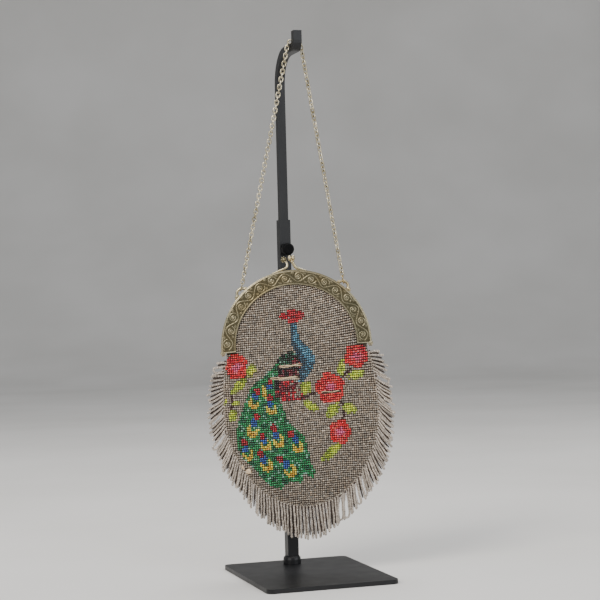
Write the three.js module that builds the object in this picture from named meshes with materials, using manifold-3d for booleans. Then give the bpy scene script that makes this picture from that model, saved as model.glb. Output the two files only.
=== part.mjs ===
// A beaded purse with an arched metal frame, hung by its chain on a plain black stand.
// Millimetres, +Z up, the front of the purse towards -Y. The origin is on the underside
// of the stand's base plate, straight below the middle of the pole.

import * as THREE from 'three';
import { mergeVertices } from 'three/addons/utils/BufferGeometryUtils.js';
import Module from 'manifold-3d';

const wasm = await Module();
wasm.setup();

const degrees = Math.PI / 180;

// General
const clearance = 0.3;

// Stand
const baseWidth = 122;
const baseDepth = 150;
const baseThickness = 4;
const baseCorner = 6;
const poleFromBack = 24;
const standTurn = 17.5 * degrees;
const tubeSide = 10.5;
const tubeWall = 1.1;
const tubeHeight = 325.7;
const collarDiameter = 16.8;
const collarHeight = 7.5;
const knobDiameter = 11.4;
const knobLength = 8;
const knobBelowTop = 28;
const screwDiameter = 4;
const screwNeck = 2.5;

// Hook at the top of the rod
const rodStraight = 128;
const hookBend = 28;
const hookReach = 48.6;
const lipBend = 5.4;
const lipTurn = 90 * degrees;
const lipLength = 9.1;

// Where the purse hangs
const frameDrop = 273.5;
const purseShift = -5;
const purseTilt = 2.7 * degrees;

// Metal frame
const frameRadius = 69.2;
const bandWidth = 13.6;
const frameDepth = 11;
const frameMetal = 1.2;
const rimHeight = 0.6;
const archEnd = 2.4 * degrees;
const archSteps = 36;
const vineWaves = 8;
const vineSwing = 2.6;
const vineHeight = 0.8;
const vineWidth = 1.3;
const bossRadius = 1.9;
const bossHeight = 0.9;

// Hinge at the ends of the arch
const pinDiameter = 2;
const pinHead = 3.6;
const pinHeadThickness = 0.8;
const earRadius = 2.9;
const pinDrop = 3;

// Clasp on top of the arch
const claspPlace = -1.6;
const claspSpan = 16;
const claspRise = 11;
const claspWire = 1.7;
const knobRadius = 3.2;
const barrelLength = 6.2;
const barrelDiameter = 4.6;

// Chain and its lugs
const lugAngle = 41.8 * degrees;
const lugSpan = 15;
const lugRise = 5.2;
const lugWire = 1.5;
const linkLength = 8.6;
const linkWidth = 5.6;
const linkWire = 1;
const chainDiameter = 3.2;

// Beaded pouch
const bagWidth = 143.6;
const bagBottom = 149.2;
const bagWidest = 58;
const bagDepth = 16;
const clothThickness = 1.5;
const seamThickness = 2.6;

// Fringe
const fringeLength = 31;
const strandPitch = 3.5;
const strandWidth = 2;
const fringeThickness = 1.6;
const fringeHead = 1.6;

// Worked-out places
const rodSide = tubeSide - 2 * tubeWall - 2 * clearance;
const tubeBottom = baseThickness + clearance;
const tubeTop = tubeBottom + tubeHeight;
const armHeight = tubeTop + rodStraight + hookBend;
const hookX = hookReach * Math.sin(standTurn);
const hookY = -hookReach * Math.cos(standTurn);
const purseX = hookX + purseShift;
const purseZ = armHeight - frameDrop;
const halfDepth = frameDepth / 2;
const mouthRadius = frameRadius - 2 * frameMetal - 3 * clearance - pinHeadThickness;

// Materials
const metal = (color, roughness) => new THREE.MeshStandardMaterial({ color, roughness, metalness: 0.9 });
const silver = metal(0x9c957c, 0.42);
const chainSilver = metal(0xb3aa92, 0.38);
const blackPaint = new THREE.MeshStandardMaterial({ color: 0x141415, roughness: 0.45, metalness: 0.2 });
const beadCloth = new THREE.MeshStandardMaterial({ color: 0x8c8078, roughness: 0.5, metalness: 0 });
const beadFringe = new THREE.MeshStandardMaterial({ color: 0xa89d93, roughness: 0.45, metalness: 0 });

// Solids and how they are joined and cut
function toSolid(geometry) {
  const bare = geometry.clone();
  bare.deleteAttribute('normal');
  bare.deleteAttribute('uv');
  const merged = mergeVertices(bare, 1e-4);
  return new wasm.Manifold(new wasm.Mesh({
    numProp: 3,
    vertProperties: new Float32Array(merged.attributes.position.array),
    triVerts: new Uint32Array(merged.index.array),
  }));
}

function toGeometry(solid) {
  const mesh = solid.getMesh();
  const geometry = new THREE.BufferGeometry();
  geometry.setAttribute('position', new THREE.BufferAttribute(mesh.vertProperties, 3));
  geometry.setIndex(new THREE.BufferAttribute(mesh.triVerts, 1));
  geometry.computeVertexNormals();
  return geometry;
}

function join(geometries) {
  return geometries.map(toSolid).reduce((whole, piece) => whole.add(piece));
}

function namedMesh(name, geometry, material) {
  const mesh = new THREE.Mesh(geometry, material);
  mesh.name = name;
  return mesh;
}

// Curves, sections and sweeps
class PolarCurve extends THREE.Curve {
  constructor(radiusAt, from, to, y) {
    super();
    Object.assign(this, { radiusAt, from, to, y });
  }

  getPoint(t, target = new THREE.Vector3()) {
    const angle = this.from + (this.to - this.from) * t;
    const radius = this.radiusAt(angle);
    return target.set(radius * Math.cos(angle), this.y, radius * Math.sin(angle));
  }
}

// A path whose steps are the given points, however far apart they are
class SteppedPath extends THREE.Curve {
  constructor(points) {
    super();
    this.points = points;
  }

  getPoint(t, target = new THREE.Vector3()) {
    const place = t * (this.points.length - 1);
    const index = Math.min(Math.floor(place), this.points.length - 2);
    return target.lerpVectors(this.points[index], this.points[index + 1], place - index);
  }

  getUtoTmapping(u) {
    return u;
  }
}

function polygonShape(rows) {
  return new THREE.Shape(rows.map(([x, y]) => new THREE.Vector2(x, y)));
}

function roundSection(radius, sides) {
  const corner = (_, i) => [
    radius * Math.cos((i * 2 * Math.PI) / sides),
    radius * Math.sin((i * 2 * Math.PI) / sides),
  ];
  return polygonShape(Array.from({ length: sides }, corner));
}

function sweep(section, path, steps) {
  return new THREE.ExtrudeGeometry(section, { extrudePath: path, steps, bevelEnabled: false });
}

function steppedTube(points, section) {
  return sweep(section, new SteppedPath(points), points.length - 1);
}

// One half of the metal frame, with its front face towards -Y
const archFrom = -archEnd;
const archTo = Math.PI + archEnd;

function archPlate() {
  const seam = clearance / 2;
  const back = halfDepth - frameMetal;
  const rim = halfDepth + rimHeight;
  const section = polygonShape([
    [seam, 0],
    [halfDepth, 0],
    [rim, -0.35 * frameMetal],
    [rim, -1.1 * frameMetal],
    [halfDepth, -1.6 * frameMetal],
    [halfDepth, -bandWidth + 1.3 * frameMetal],
    [rim, -bandWidth + 0.9 * frameMetal],
    [rim, -bandWidth + 0.3 * frameMetal],
    [halfDepth, -bandWidth],
    [back, -bandWidth],
    [back, -frameMetal],
    [seam, -frameMetal],
  ]);
  return sweep(section, new PolarCurve(() => frameRadius, archFrom, archTo, 0), archSteps);
}

const vineMiddle = frameRadius - bandWidth / 2;
const vineMargin = 3 * degrees;

function vineRadius(angle) {
  const share = (angle - archFrom - vineMargin) / (archTo - archFrom - 2 * vineMargin);
  return vineMiddle + vineSwing * Math.sin(share * vineWaves * 2 * Math.PI);
}

function vineRidge() {
  const sunk = -0.3 * frameMetal;
  const section = polygonShape([[sunk, -vineWidth / 2], [sunk, vineWidth / 2], [vineHeight, 0]]);
  const path = new PolarCurve(vineRadius, archFrom + vineMargin, archTo - vineMargin, -halfDepth);
  return sweep(section, path, vineWaves * 7);
}

function vineBosses() {
  const count = 2 * vineWaves;
  const step = (archTo - archFrom - 2 * vineMargin) / count;
  return Array.from({ length: count }, (_, i) => {
    const angle = archFrom + vineMargin + (i + 0.5) * step;
    const side = i % 2 === 0 ? -1 : 1;
    const radius = vineMiddle + side * 0.55 * vineSwing;
    const boss = new THREE.SphereGeometry(bossRadius, 7, 4);
    boss.rotateX(Math.PI / 2);
    boss.scale(1, bossHeight / bossRadius, 1);
    boss.translate(radius * Math.cos(angle), -halfDepth, radius * Math.sin(angle));
    return boss;
  });
}

function archHalf() {
  return toGeometry(join([archPlate(), vineRidge(), ...vineBosses()]));
}

// Hinge ears: the front half's ear is flush with its flange, the back half's lies inside it
function earDisc(side, from, thickness) {
  const disc = new THREE.CylinderGeometry(earRadius, earRadius, thickness, 16);
  disc.rotateZ(Math.PI / 2);
  disc.translate(side * (from + thickness / 2), 0, -pinDrop);
  return disc;
}

function earNeck(side, from, to, y) {
  const width = to - from;
  const height = earRadius + 1.6 * frameMetal;
  const neck = new THREE.BoxGeometry(width, halfDepth / 2, height);
  neck.translate(side * (from + width / 2), y, height / 2 - pinDrop + 0.5 * earRadius);
  return neck;
}

function pinHole(side) {
  const radius = pinDiameter / 2 + clearance;
  const hole = new THREE.CylinderGeometry(radius, radius, 8 * frameMetal, 16);
  hole.rotateZ(Math.PI / 2);
  hole.translate(side * frameRadius, 0, -pinDrop);
  return toSolid(hole);
}

const outerEar = frameRadius - frameMetal;
const innerEar = outerEar - clearance - frameMetal;

function hingePin(side) {
  const inner = innerEar - clearance - pinHeadThickness;
  const outer = frameRadius + clearance + pinHeadThickness;
  const shank = pinDiameter / 2;
  const head = pinHead / 2;
  const profile = [
    [0, inner],
    [head, inner],
    [head, inner + pinHeadThickness],
    [shank, inner + pinHeadThickness],
    [shank, outer - pinHeadThickness],
    [head, outer - pinHeadThickness],
    [0.7 * head, outer],
    [0, outer],
  ].map(([x, y]) => new THREE.Vector2(x, y));
  const pin = new THREE.LatheGeometry(profile, 8);
  pin.rotateZ(-side * Math.PI / 2);
  pin.translate(0, 0, -pinDrop);
  return pin;
}

// Clasp arms: along is a share of claspSpan from the clasp's middle, above a share of
// claspRise over the rim, and depth a share of a frame half's depth from the closing gap
const leftArm = [
  { along: -0.98, above: 0.0, depth: 0.5 },
  { along: -0.68, above: 0.06, depth: 0.5 },
  { along: -0.38, above: 0.13, depth: 0.5 },
  { along: -0.17, above: 0.23, depth: 0.45 },
  { along: -0.1, above: 0.45, depth: 0.35 },
  { along: -0.14, above: 0.7, depth: 0.25 },
  { along: -0.29, above: 0.93, depth: 0.15 },
];
const rightArm = [
  { along: 0.98, above: 0.0, depth: 0.5 },
  { along: 0.7, above: 0.05, depth: 0.5 },
  { along: 0.45, above: 0.12, depth: 0.5 },
  { along: 0.3, above: 0.3, depth: 0.45 },
  { along: 0.22, above: 0.56, depth: 0.35 },
  { along: 0.17, above: 0.81, depth: 0.25 },
  { along: 0.16, above: 1.0, depth: 0.15 },
];

function armPoint(row, side) {
  const x = claspPlace + row.along * claspSpan;
  const rim = Math.sqrt(frameRadius ** 2 - x ** 2);
  return new THREE.Vector3(x, side * row.depth * halfDepth, rim + row.above * claspRise);
}

function claspArm(rows, side) {
  const path = new THREE.CatmullRomCurve3(rows.map((row) => armPoint(row, side)));
  return sweep(roundSection(claspWire / 2, 6), path, 10);
}

function claspKnob(rows, side) {
  const knob = new THREE.SphereGeometry(knobRadius, 10, 7);
  const place = armPoint(rows[rows.length - 1], side);
  return knob.translate(place.x, place.y, place.z);
}

function claspBarrel(rows, side) {
  const radius = barrelDiameter / 2;
  const profile = [
    [0, -0.5],
    [0.75, -0.5],
    [1, -0.38],
    [1, -0.1],
    [0.8, 0],
    [1, 0.1],
    [1, 0.38],
    [0.75, 0.5],
    [0, 0.5],
  ].map(([x, y]) => new THREE.Vector2(x * radius, y * barrelLength));
  const barrel = new THREE.LatheGeometry(profile, 10);
  const place = armPoint(rows[rows.length - 1], side);
  return barrel.rotateZ(Math.PI / 2).translate(place.x, place.y, place.z);
}

// Chain lugs: along is a share of half the lug's span on the rim, above of its rise
const lugArch = [
  { along: -1, above: 0.02 },
  { along: -0.62, above: 0.1 },
  { along: -0.42, above: 0.42 },
  { along: -0.3, above: 0.8 },
  { along: 0, above: 1 },
  { along: 0.3, above: 0.8 },
  { along: 0.42, above: 0.42 },
  { along: 0.62, above: 0.1 },
  { along: 1, above: 0.02 },
];
const lugDepth = halfDepth / 2;

function lug(side) {
  const middle = Math.PI / 2 - side * lugAngle;
  const points = lugArch.map(({ along, above }) => {
    const angle = middle + (along * lugSpan) / 2 / frameRadius;
    const radius = frameRadius + above * (lugRise - lugWire / 2);
    return new THREE.Vector3(radius * Math.cos(angle), lugDepth, radius * Math.sin(angle));
  });
  return sweep(roundSection(lugWire / 2, 6), new THREE.CatmullRomCurve3(points), 12);
}

function frontFrame() {
  const ears = [-1, 1].flatMap((side) => [
    earDisc(side, outerEar, frameMetal),
    earNeck(side, outerEar, frameRadius, -halfDepth / 2),
  ]);
  const whole = join([archHalf(), ...ears, claspArm(leftArm, -1), claspKnob(leftArm, -1)]);
  return whole.subtract(pinHole(-1)).subtract(pinHole(1));
}

// The back half's flange stops short of the front half's ears
function earRoom(side) {
  const width = frameMetal + 2 * clearance;
  const room = new THREE.CylinderGeometry(earRadius + clearance, earRadius + clearance, width, 16);
  room.rotateZ(Math.PI / 2);
  room.translate(side * (outerEar - clearance + width / 2), 0, -pinDrop);
  return toSolid(room);
}

function backFrame() {
  const ears = [-1, 1].flatMap((side) => [
    earDisc(side, innerEar, frameMetal),
    earNeck(side, innerEar, innerEar + frameMetal, halfDepth / 2),
    earNeck(side, innerEar, frameRadius - 0.5 * frameMetal, halfDepth / 2).translate(0, 0, earRadius),
  ]);
  const arch = archHalf().rotateZ(Math.PI);
  const whole = join([
    arch, ...ears, claspArm(rightArm, 1), claspBarrel(rightArm, 1), lug(-1), lug(1),
  ]);
  return [-1, 1].reduce((cut, side) => cut.subtract(pinHole(side)).subtract(earRoom(side)), whole);
}

// Outline of the pouch in the XZ plane: an arch under the frame, sides that swell below
// the hinges, and a half-ellipse below. It starts at the right hinge and runs over the top.
const sideTop = pinDrop + earRadius + 0.25 * bandWidth;

class PouchOutline extends THREE.Curve {
  constructor(inset) {
    super();
    this.inset = inset;
    this.arcLengthDivisions = 800;
  }

  getPoint(t, target = new THREE.Vector2()) {
    const arch = mouthRadius - this.inset;
    const half = bagWidth / 2 - this.inset;
    const bottom = bagBottom - bagWidest - this.inset;
    const sideAt = (share) => {
      const drop = share * bagWidest;
      const swell = Math.max(0, (drop - sideTop) / (bagWidest - sideTop));
      const width = arch + (half - arch) * Math.sin((swell * Math.PI) / 2) ** 0.6;
      return [width, -drop];
    };
    if (t <= 0.36) {
      const angle = (t / 0.36) * Math.PI;
      return target.set(arch * Math.cos(angle), arch * Math.sin(angle));
    }
    if (t <= 0.46) {
      const [width, z] = sideAt((t - 0.36) / 0.1);
      return target.set(-width, z);
    }
    if (t <= 0.9) {
      const angle = ((t - 0.46) / 0.44) * Math.PI;
      return target.set(-half * Math.cos(angle), -bagWidest - bottom * Math.sin(angle));
    }
    const [width, z] = sideAt((1 - t) / 0.1);
    return target.set(width, z);
  }
}

// How open the pouch's edge is: 1 along the mouth under the frame, 0 along the sewn seam
const mouthBlend = 14;

function mouthShare(z) {
  return THREE.MathUtils.smoothstep(z, -sideTop, mouthBlend);
}

// Half the pouch's thickness, f of the way from its middle to its edge
const pouchMiddle = new THREE.Vector2(0, -0.28 * bagBottom);

function pouchHalfThickness(edge, f, wall) {
  const mouth = mouthShare(edge.y);
  const length = edge.distanceTo(pouchMiddle);
  const flat = mouth * (mouthRadius - frameRadius + bandWidth + frameMetal);
  const inward = Math.max(0, (1 - f) * length - flat) / (length - flat);
  const z = pouchMiddle.y + f * (edge.y - pouchMiddle.y);
  const fullness = 1 - 0.16 * THREE.MathUtils.smoothstep(z, -0.5 * bagBottom, mouthRadius);
  const atMouth = halfDepth - frameMetal - clearance;
  const atEdge = THREE.MathUtils.lerp(seamThickness / 2, atMouth, mouth);
  const swell = (1 - (1 - inward) ** 2.6) ** 0.7;
  const roundness = THREE.MathUtils.lerp(0.18, 0.015, mouth);
  const closing = Math.max(0, 1 - f * f) ** roundness;
  return (atEdge + ((fullness * bagDepth) / 2 - atEdge) * swell - wall) * closing;
}

function pouch(around, rings, inset, stretchMouth) {
  const outline = new PouchOutline(inset);
  const form = new THREE.SphereGeometry(1, around, rings);
  const position = form.attributes.position;
  const outlinePoint = new THREE.Vector2();
  for (let i = 0; i < position.count; i += 1) {
    const column = i % (around + 1);
    const row = Math.floor(i / (around + 1));
    const polar = (row / rings) * Math.PI;
    const f = Math.sin(polar);
    outline.getPointAt(((around - column) % around) / around, outlinePoint);
    const half = Math.max(0, pouchHalfThickness(outlinePoint, Math.min(1, f), inset));
    const reach = f * (1 + stretchMouth * mouthShare(outlinePoint.y));
    const x = pouchMiddle.x + reach * (outlinePoint.x - pouchMiddle.x);
    const z = pouchMiddle.y + reach * (outlinePoint.y - pouchMiddle.y);
    const side = row * 2 === rings ? 0 : Math.sign(Math.cos(polar));
    position.setXYZ(i, x, side * half, z);
  }
  return form;
}

function bagBody() {
  const outside = toSolid(pouch(56, 14, 0, 0));
  const inside = toSolid(pouch(36, 10, clothThickness, 0.06));
  return outside.subtract(inside);
}

// Fringe along the sewn edge: reach is a share of fringeLength, and droop how far a
// strand turns from straight out of the edge (0) to straight down (1)
const fringeRows = [
  { at: 0.0, reach: 0.42, droop: 0.12 },
  { at: 0.06, reach: 0.5, droop: 0.2 },
  { at: 0.2, reach: 0.66, droop: 0.4 },
  { at: 0.33, reach: 0.8, droop: 0.66 },
  { at: 0.44, reach: 0.93, droop: 0.8 },
  { at: 0.55, reach: 1.0, droop: 0.85 },
  { at: 0.63, reach: 0.93, droop: 0.78 },
  { at: 0.75, reach: 0.76, droop: 0.6 },
  { at: 0.88, reach: 0.7, droop: 0.4 },
  { at: 0.96, reach: 0.5, droop: 0.2 },
  { at: 1.0, reach: 0.4, droop: 0.1 },
];

function fringeAt(share, column) {
  const next = Math.max(1, fringeRows.findIndex((row) => row.at >= share));
  const [a, b] = [fringeRows[next - 1], fringeRows[next]];
  return THREE.MathUtils.lerp(a[column], b[column], (share - a.at) / (b.at - a.at));
}

function sewnEdge() {
  const outline = new PouchOutline(0);
  const points = outline.getSpacedPoints(800);
  const sewn = points.filter((point) => point.y < -sideTop - 2 * clearance);
  const edge = new THREE.SplineCurve(sewn.filter((_, i) => i % 8 === 0));
  edge.arcLengthDivisions = 800;
  return edge;
}

function fringe() {
  const edge = sewnEdge();
  const count = Math.round(edge.getLength() / strandPitch);
  const outward = (share) => {
    const along = edge.getTangentAt(share);
    return new THREE.Vector2(along.y, -along.x);
  };
  const corners = [];
  for (let i = 0; i < count; i += 1) {
    const share = (i + 0.5) / count;
    const along = edge.getTangentAt(share);
    const out = outward(share);
    const droop = fringeAt(share, 'droop');
    const way = out.clone().multiplyScalar(1 - droop).add(new THREE.Vector2(0, -droop)).normalize();
    const halfRoot = strandWidth / 2 / Math.max(0.5, way.dot(out));
    const root = edge.getPointAt(share).addScaledVector(out, clearance + fringeHead);
    const reach = fringeAt(share, 'reach') * fringeLength - fringeHead;
    const corner = (across, far) => root.clone()
      .addScaledVector(along, across * halfRoot)
      .addScaledVector(way, far * reach);
    corners.push(corner(-1, 0), corner(-0.7, 1), corner(0.7, 1), corner(1, 0));
  }
  const inner = Array.from({ length: 51 }, (_, i) => {
    const share = 1 - i / 50;
    return edge.getPointAt(share).addScaledVector(outward(share), clearance);
  });
  const comb = new THREE.ExtrudeGeometry(new THREE.Shape([...corners, ...inner]), {
    depth: fringeThickness,
    bevelEnabled: false,
  });
  return comb.rotateX(Math.PI / 2).translate(0, fringeThickness / 2, 0);
}

// Chain, hung over the rod's hook
const armTop = armHeight + rodSide / 2;
const linkMiddle = frameRadius + 0.5 * (lugRise - lugWire / 2);

function purseToWorld(x, y, z) {
  const point = new THREE.Vector3(x, y, z);
  point.applyAxisAngle(new THREE.Vector3(0, 1, 0), -purseTilt);
  return point.add(new THREE.Vector3(purseX, hookY, purseZ));
}

function lugHole(side) {
  const angle = Math.PI / 2 - side * lugAngle;
  return purseToWorld(linkMiddle * Math.cos(angle), lugDepth, linkMiddle * Math.sin(angle));
}

function hookCorner(side) {
  const half = rodSide / 2 / Math.cos(standTurn);
  return new THREE.Vector3(hookX + side * half, hookY, armTop);
}

const chainTurn = chainDiameter / 2 + 2 * clearance;

// The point where a strand leaves its end link, the point where it meets the round turn
// over the hook's edge, and the strand's direction
function strand(side) {
  const low = lugHole(side);
  const corner = hookCorner(side);
  const way = corner.clone().sub(low).setY(0).normalize();
  const aside = new THREE.Vector3(side * way.z, 0, -side * way.x);
  const top = corner.clone().addScaledVector(aside, chainTurn);
  const direction = top.clone().sub(low).normalize();
  return { low, top, direction, corner };
}

function endLink(side) {
  const { low, direction } = strand(side);
  const link = new THREE.TorusGeometry(1, 1, 6, 16);
  const position = link.attributes.position;
  const halfLength = (linkLength - linkWire) / 2;
  const halfWidth = (linkWidth - linkWire) / 2;
  for (let i = 0; i < position.count; i += 1) {
    const around = ((i % 17) / 16) * 2 * Math.PI;
    const section = (Math.floor(i / 17) / 6) * 2 * Math.PI;
    const out = (linkWire / 2) * Math.cos(section);
    position.setXYZ(
      i,
      (halfWidth + out) * Math.cos(around),
      (halfLength + out) * Math.sin(around),
      (linkWire / 2) * Math.sin(section),
    );
  }
  const across = new THREE.Vector3(0, 1, 0);
  const aside = new THREE.Vector3().crossVectors(across, direction).normalize();
  const upright = new THREE.Vector3().crossVectors(aside, across).normalize();
  const turn = new THREE.Matrix4().makeBasis(across, upright, aside);
  const middle = low.clone().addScaledVector(upright, halfLength);
  return link.applyMatrix4(turn).translate(middle.x, middle.y, middle.z);
}

function strandPoints(side) {
  const { low, top, direction } = strand(side);
  const from = low.clone().addScaledVector(direction, linkLength - linkWire / 2 + 2 * clearance);
  const steps = Math.ceil(from.distanceTo(top) / (2.6 * chainDiameter));
  return Array.from({ length: steps + 1 }, (_, i) => from.clone().lerp(top, i / steps));
}

function turnPoints(side) {
  const { corner, top } = strand(side);
  const from = Math.atan2(top.z - corner.z, top.x - corner.x);
  return [1, 2, 3].map((i) => {
    const angle = THREE.MathUtils.lerp(from, Math.PI / 2, i / 3);
    return corner.clone().add(new THREE.Vector3(chainTurn * Math.cos(angle), 0, chainTurn * Math.sin(angle)));
  });
}

function chain() {
  const left = [...strandPoints(-1), ...turnPoints(-1)];
  const right = [...strandPoints(1), ...turnPoints(1)];
  return steppedTube([...left, ...right.reverse()], roundSection(chainDiameter / 2, 8));
}

// Stand, in its own axes: x across, -y forward
function standBase() {
  const halfWidth = baseWidth / 2;
  const back = poleFromBack;
  const front = poleFromBack - baseDepth;
  const outline = new THREE.Shape();
  outline.moveTo(-halfWidth + baseCorner, front);
  outline.lineTo(halfWidth - baseCorner, front);
  outline.absarc(halfWidth - baseCorner, front + baseCorner, baseCorner, -Math.PI / 2, 0);
  outline.lineTo(halfWidth, back - baseCorner);
  outline.absarc(halfWidth - baseCorner, back - baseCorner, baseCorner, 0, Math.PI / 2);
  outline.lineTo(-halfWidth + baseCorner, back);
  outline.absarc(-halfWidth + baseCorner, back - baseCorner, baseCorner, Math.PI / 2, Math.PI);
  outline.lineTo(-halfWidth, front + baseCorner);
  outline.absarc(-halfWidth + baseCorner, front + baseCorner, baseCorner, Math.PI, 1.5 * Math.PI);
  return new THREE.ExtrudeGeometry(outline, { depth: baseThickness, bevelEnabled: false, curveSegments: 5 });
}

function squareBar(side, from, to) {
  return new THREE.BoxGeometry(side, side, to - from).translate(0, 0, (from + to) / 2);
}

function standCollar() {
  const radius = collarDiameter / 2;
  const profile = [
    [0, 0],
    [radius, 0],
    [radius, 0.55 * collarHeight],
    [0.94 * radius, 0.85 * collarHeight],
    [0.8 * radius, collarHeight],
    [0, collarHeight],
  ].map(([x, y]) => new THREE.Vector2(x, y));
  const collar = new THREE.LatheGeometry(profile, 16).rotateX(Math.PI / 2);
  collar.translate(0, 0, tubeBottom);
  const hole = squareBar(tubeSide + 2 * clearance, 0, tubeTop);
  return toSolid(collar).subtract(toSolid(hole));
}

const screwHeight = tubeTop - knobBelowTop;

function standTube() {
  const bar = toSolid(squareBar(tubeSide, tubeBottom, tubeTop));
  const bore = toSolid(squareBar(tubeSide - 2 * tubeWall, 0, tubeTop + tubeSide));
  const screwRadius = screwDiameter / 2 + clearance;
  const screwHole = new THREE.CylinderGeometry(screwRadius, screwRadius, tubeSide, 16);
  screwHole.translate(0, -tubeSide / 2, screwHeight);
  return bar.subtract(bore).subtract(toSolid(screwHole));
}

function standKnob() {
  const tip = rodSide / 2 + clearance;
  const face = tubeSide / 2 + screwNeck;
  const shank = screwDiameter / 2;
  const radius = knobDiameter / 2;
  const profile = [
    [0, tip],
    [shank, tip],
    [shank, face],
    [0.9 * radius, face],
    [radius, face + 0.1 * knobLength],
    [radius, face + 0.8 * knobLength],
    [0.85 * radius, face + knobLength],
    [0, face + knobLength],
  ].map(([x, y]) => new THREE.Vector2(x, y));
  return new THREE.LatheGeometry(profile, 14).rotateZ(Math.PI).translate(0, 0, screwHeight);
}

// Straight rod, bend forward, flat arm that carries the chain, and lip turned up
function standRod() {
  const points = [new THREE.Vector3(0, 0, tubeBottom), new THREE.Vector3(0, 0, tubeTop + rodStraight)];
  for (let i = 1; i <= 8; i += 1) {
    const angle = (i / 8) * (Math.PI / 2);
    const forward = hookBend * (1 - Math.cos(angle));
    const up = hookBend * Math.sin(angle);
    points.push(new THREE.Vector3(0, -forward, tubeTop + rodStraight + up));
  }
  const lipStart = hookReach + chainDiameter / 2 + 2 * clearance;
  points.push(new THREE.Vector3(0, -lipStart, armHeight));
  for (let i = 1; i <= 6; i += 1) {
    const angle = (i / 6) * lipTurn;
    const forward = lipStart + lipBend * Math.sin(angle);
    points.push(new THREE.Vector3(0, -forward, armHeight + lipBend * (1 - Math.cos(angle))));
  }
  const end = points[points.length - 1].clone();
  points.push(end.add(new THREE.Vector3(0, -Math.cos(lipTurn), Math.sin(lipTurn)).multiplyScalar(lipLength)));
  const half = rodSide / 2;
  return steppedTube(points, polygonShape([[-half, -half], [half, -half], [half, half], [-half, half]]));
}

// The whole object
const object = new THREE.Group();

const stand = new THREE.Group();
stand.rotation.z = standTurn;
stand.add(namedMesh('stand_base', standBase(), blackPaint));
stand.add(namedMesh('stand_collar', toGeometry(standCollar()), blackPaint));
stand.add(namedMesh('stand_tube', toGeometry(standTube()), blackPaint));
stand.add(namedMesh('stand_rod', standRod(), blackPaint));
stand.add(namedMesh('stand_knob', standKnob(), blackPaint));
object.add(stand);

const purse = new THREE.Group();
purse.position.set(purseX, hookY, purseZ);
purse.rotation.y = -purseTilt;
purse.add(namedMesh('front_frame', toGeometry(frontFrame()), silver));
purse.add(namedMesh('back_frame', toGeometry(backFrame()), silver));
purse.add(namedMesh('hinge_pin_left', hingePin(-1), silver));
purse.add(namedMesh('hinge_pin_right', hingePin(1), silver));
purse.add(namedMesh('bag_body', toGeometry(bagBody()), beadCloth));
purse.add(namedMesh('fringe', fringe(), beadFringe));
object.add(purse);

object.add(namedMesh('link_left', endLink(-1), chainSilver));
object.add(namedMesh('link_right', endLink(1), chainSilver));
object.add(namedMesh('chain', chain(), chainSilver));

export default object;
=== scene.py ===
"""A beaded purse with an arched metal frame, hung by its chain on a plain black stand.

Sizes are in millimetres until a mesh is made, which is in metres. The purse has axes of its
own: x across, y towards the back and z up, from the middle of the frame's arch.
"""

import math

import bpy
import numpy as np
from mathutils import Matrix, Vector


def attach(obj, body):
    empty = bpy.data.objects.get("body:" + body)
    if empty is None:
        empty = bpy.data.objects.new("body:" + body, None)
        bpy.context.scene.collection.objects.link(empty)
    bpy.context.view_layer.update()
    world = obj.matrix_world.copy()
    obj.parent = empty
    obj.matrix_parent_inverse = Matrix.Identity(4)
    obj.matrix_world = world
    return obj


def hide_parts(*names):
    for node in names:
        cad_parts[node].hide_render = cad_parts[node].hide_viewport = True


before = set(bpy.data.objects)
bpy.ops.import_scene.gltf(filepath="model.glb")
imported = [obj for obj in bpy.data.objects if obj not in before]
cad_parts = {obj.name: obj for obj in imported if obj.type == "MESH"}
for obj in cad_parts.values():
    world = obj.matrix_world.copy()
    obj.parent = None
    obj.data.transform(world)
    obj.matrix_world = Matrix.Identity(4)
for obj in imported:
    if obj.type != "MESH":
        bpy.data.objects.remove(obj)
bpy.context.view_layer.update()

MM = 0.001
SEED = 1926
rng = np.random.default_rng(SEED)

# Where the purse hangs, and its frame
PURSE_PLACE = (9.61, -46.35, 212.5)
PURSE_TILT = math.radians(2.7)
FRAME_RADIUS = 69.2
BAND_WIDTH = 13.6
HALF_DEPTH = 5.5
FRAME_METAL = 1.2
ARCH_END = math.radians(2.4)
# How far the band reaches below the middle of the arch
BAND_FOOT = 3.4
PIN_DROP = 3.0
EAR_RADIUS = 2.9
EAR_HOLE = 1.3
CUT_EDGE = 0.2
CLASP_PLACE = -1.6
CLASP_SPAN = 16.0
CLASP_RISE = 11.0
LUG_ANGLE = math.radians(41.8)
LUG_SPAN = 15.0
LUG_HEIGHT = 4.45
LUG_DEPTH = 2.75

# Pouch
MOUTH_RADIUS = 65.1
BAG_HALF_WIDTH = 71.8
BAG_BOTTOM = 149.2
BAG_WIDEST = 58.0
BAG_HALF_DEPTH = 8.0
SIDE_TOP = 9.3
MOUTH_BLEND = 14.0
MIDDLE_Z = -0.28 * BAG_BOTTOM
SEAM_HALF = 1.3
MOUTH_HALF = 4.0
MOUTH_FLAT = 10.7
# The edge's fall to nothing, as a power: the smaller, the blunter
SEAM_CLOSING = 0.18
MOUTH_CLOSING = 0.015
TOP_THINNING = 0.16
DENT_DEPTH = 0.55
OUTLINE_STEPS = 1440
# How far the knitted thread lies inside the edge, and under the surface
THREAD_INSET = 0.4
THREAD_SINK = 0.95

# Beads
COLUMN_PITCH = 1.94
ROW_PITCH = 2.07
BEAD_LENGTH = 1.6
BEAD_HEIGHT = 1.74
BEAD_SIDES = 6
BEAD_SINK = 0.42
# The steepest slope that a bead still follows
STEEPEST = 1.6
# The lean of the beads in even and odd rows, in degrees
ROW_LEANS = (17, -13)
LEAN_SPREAD = 6
# Where the last knitted beads lie, as a share of the way to the edge
LAST_BEAD = 0.988
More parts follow.
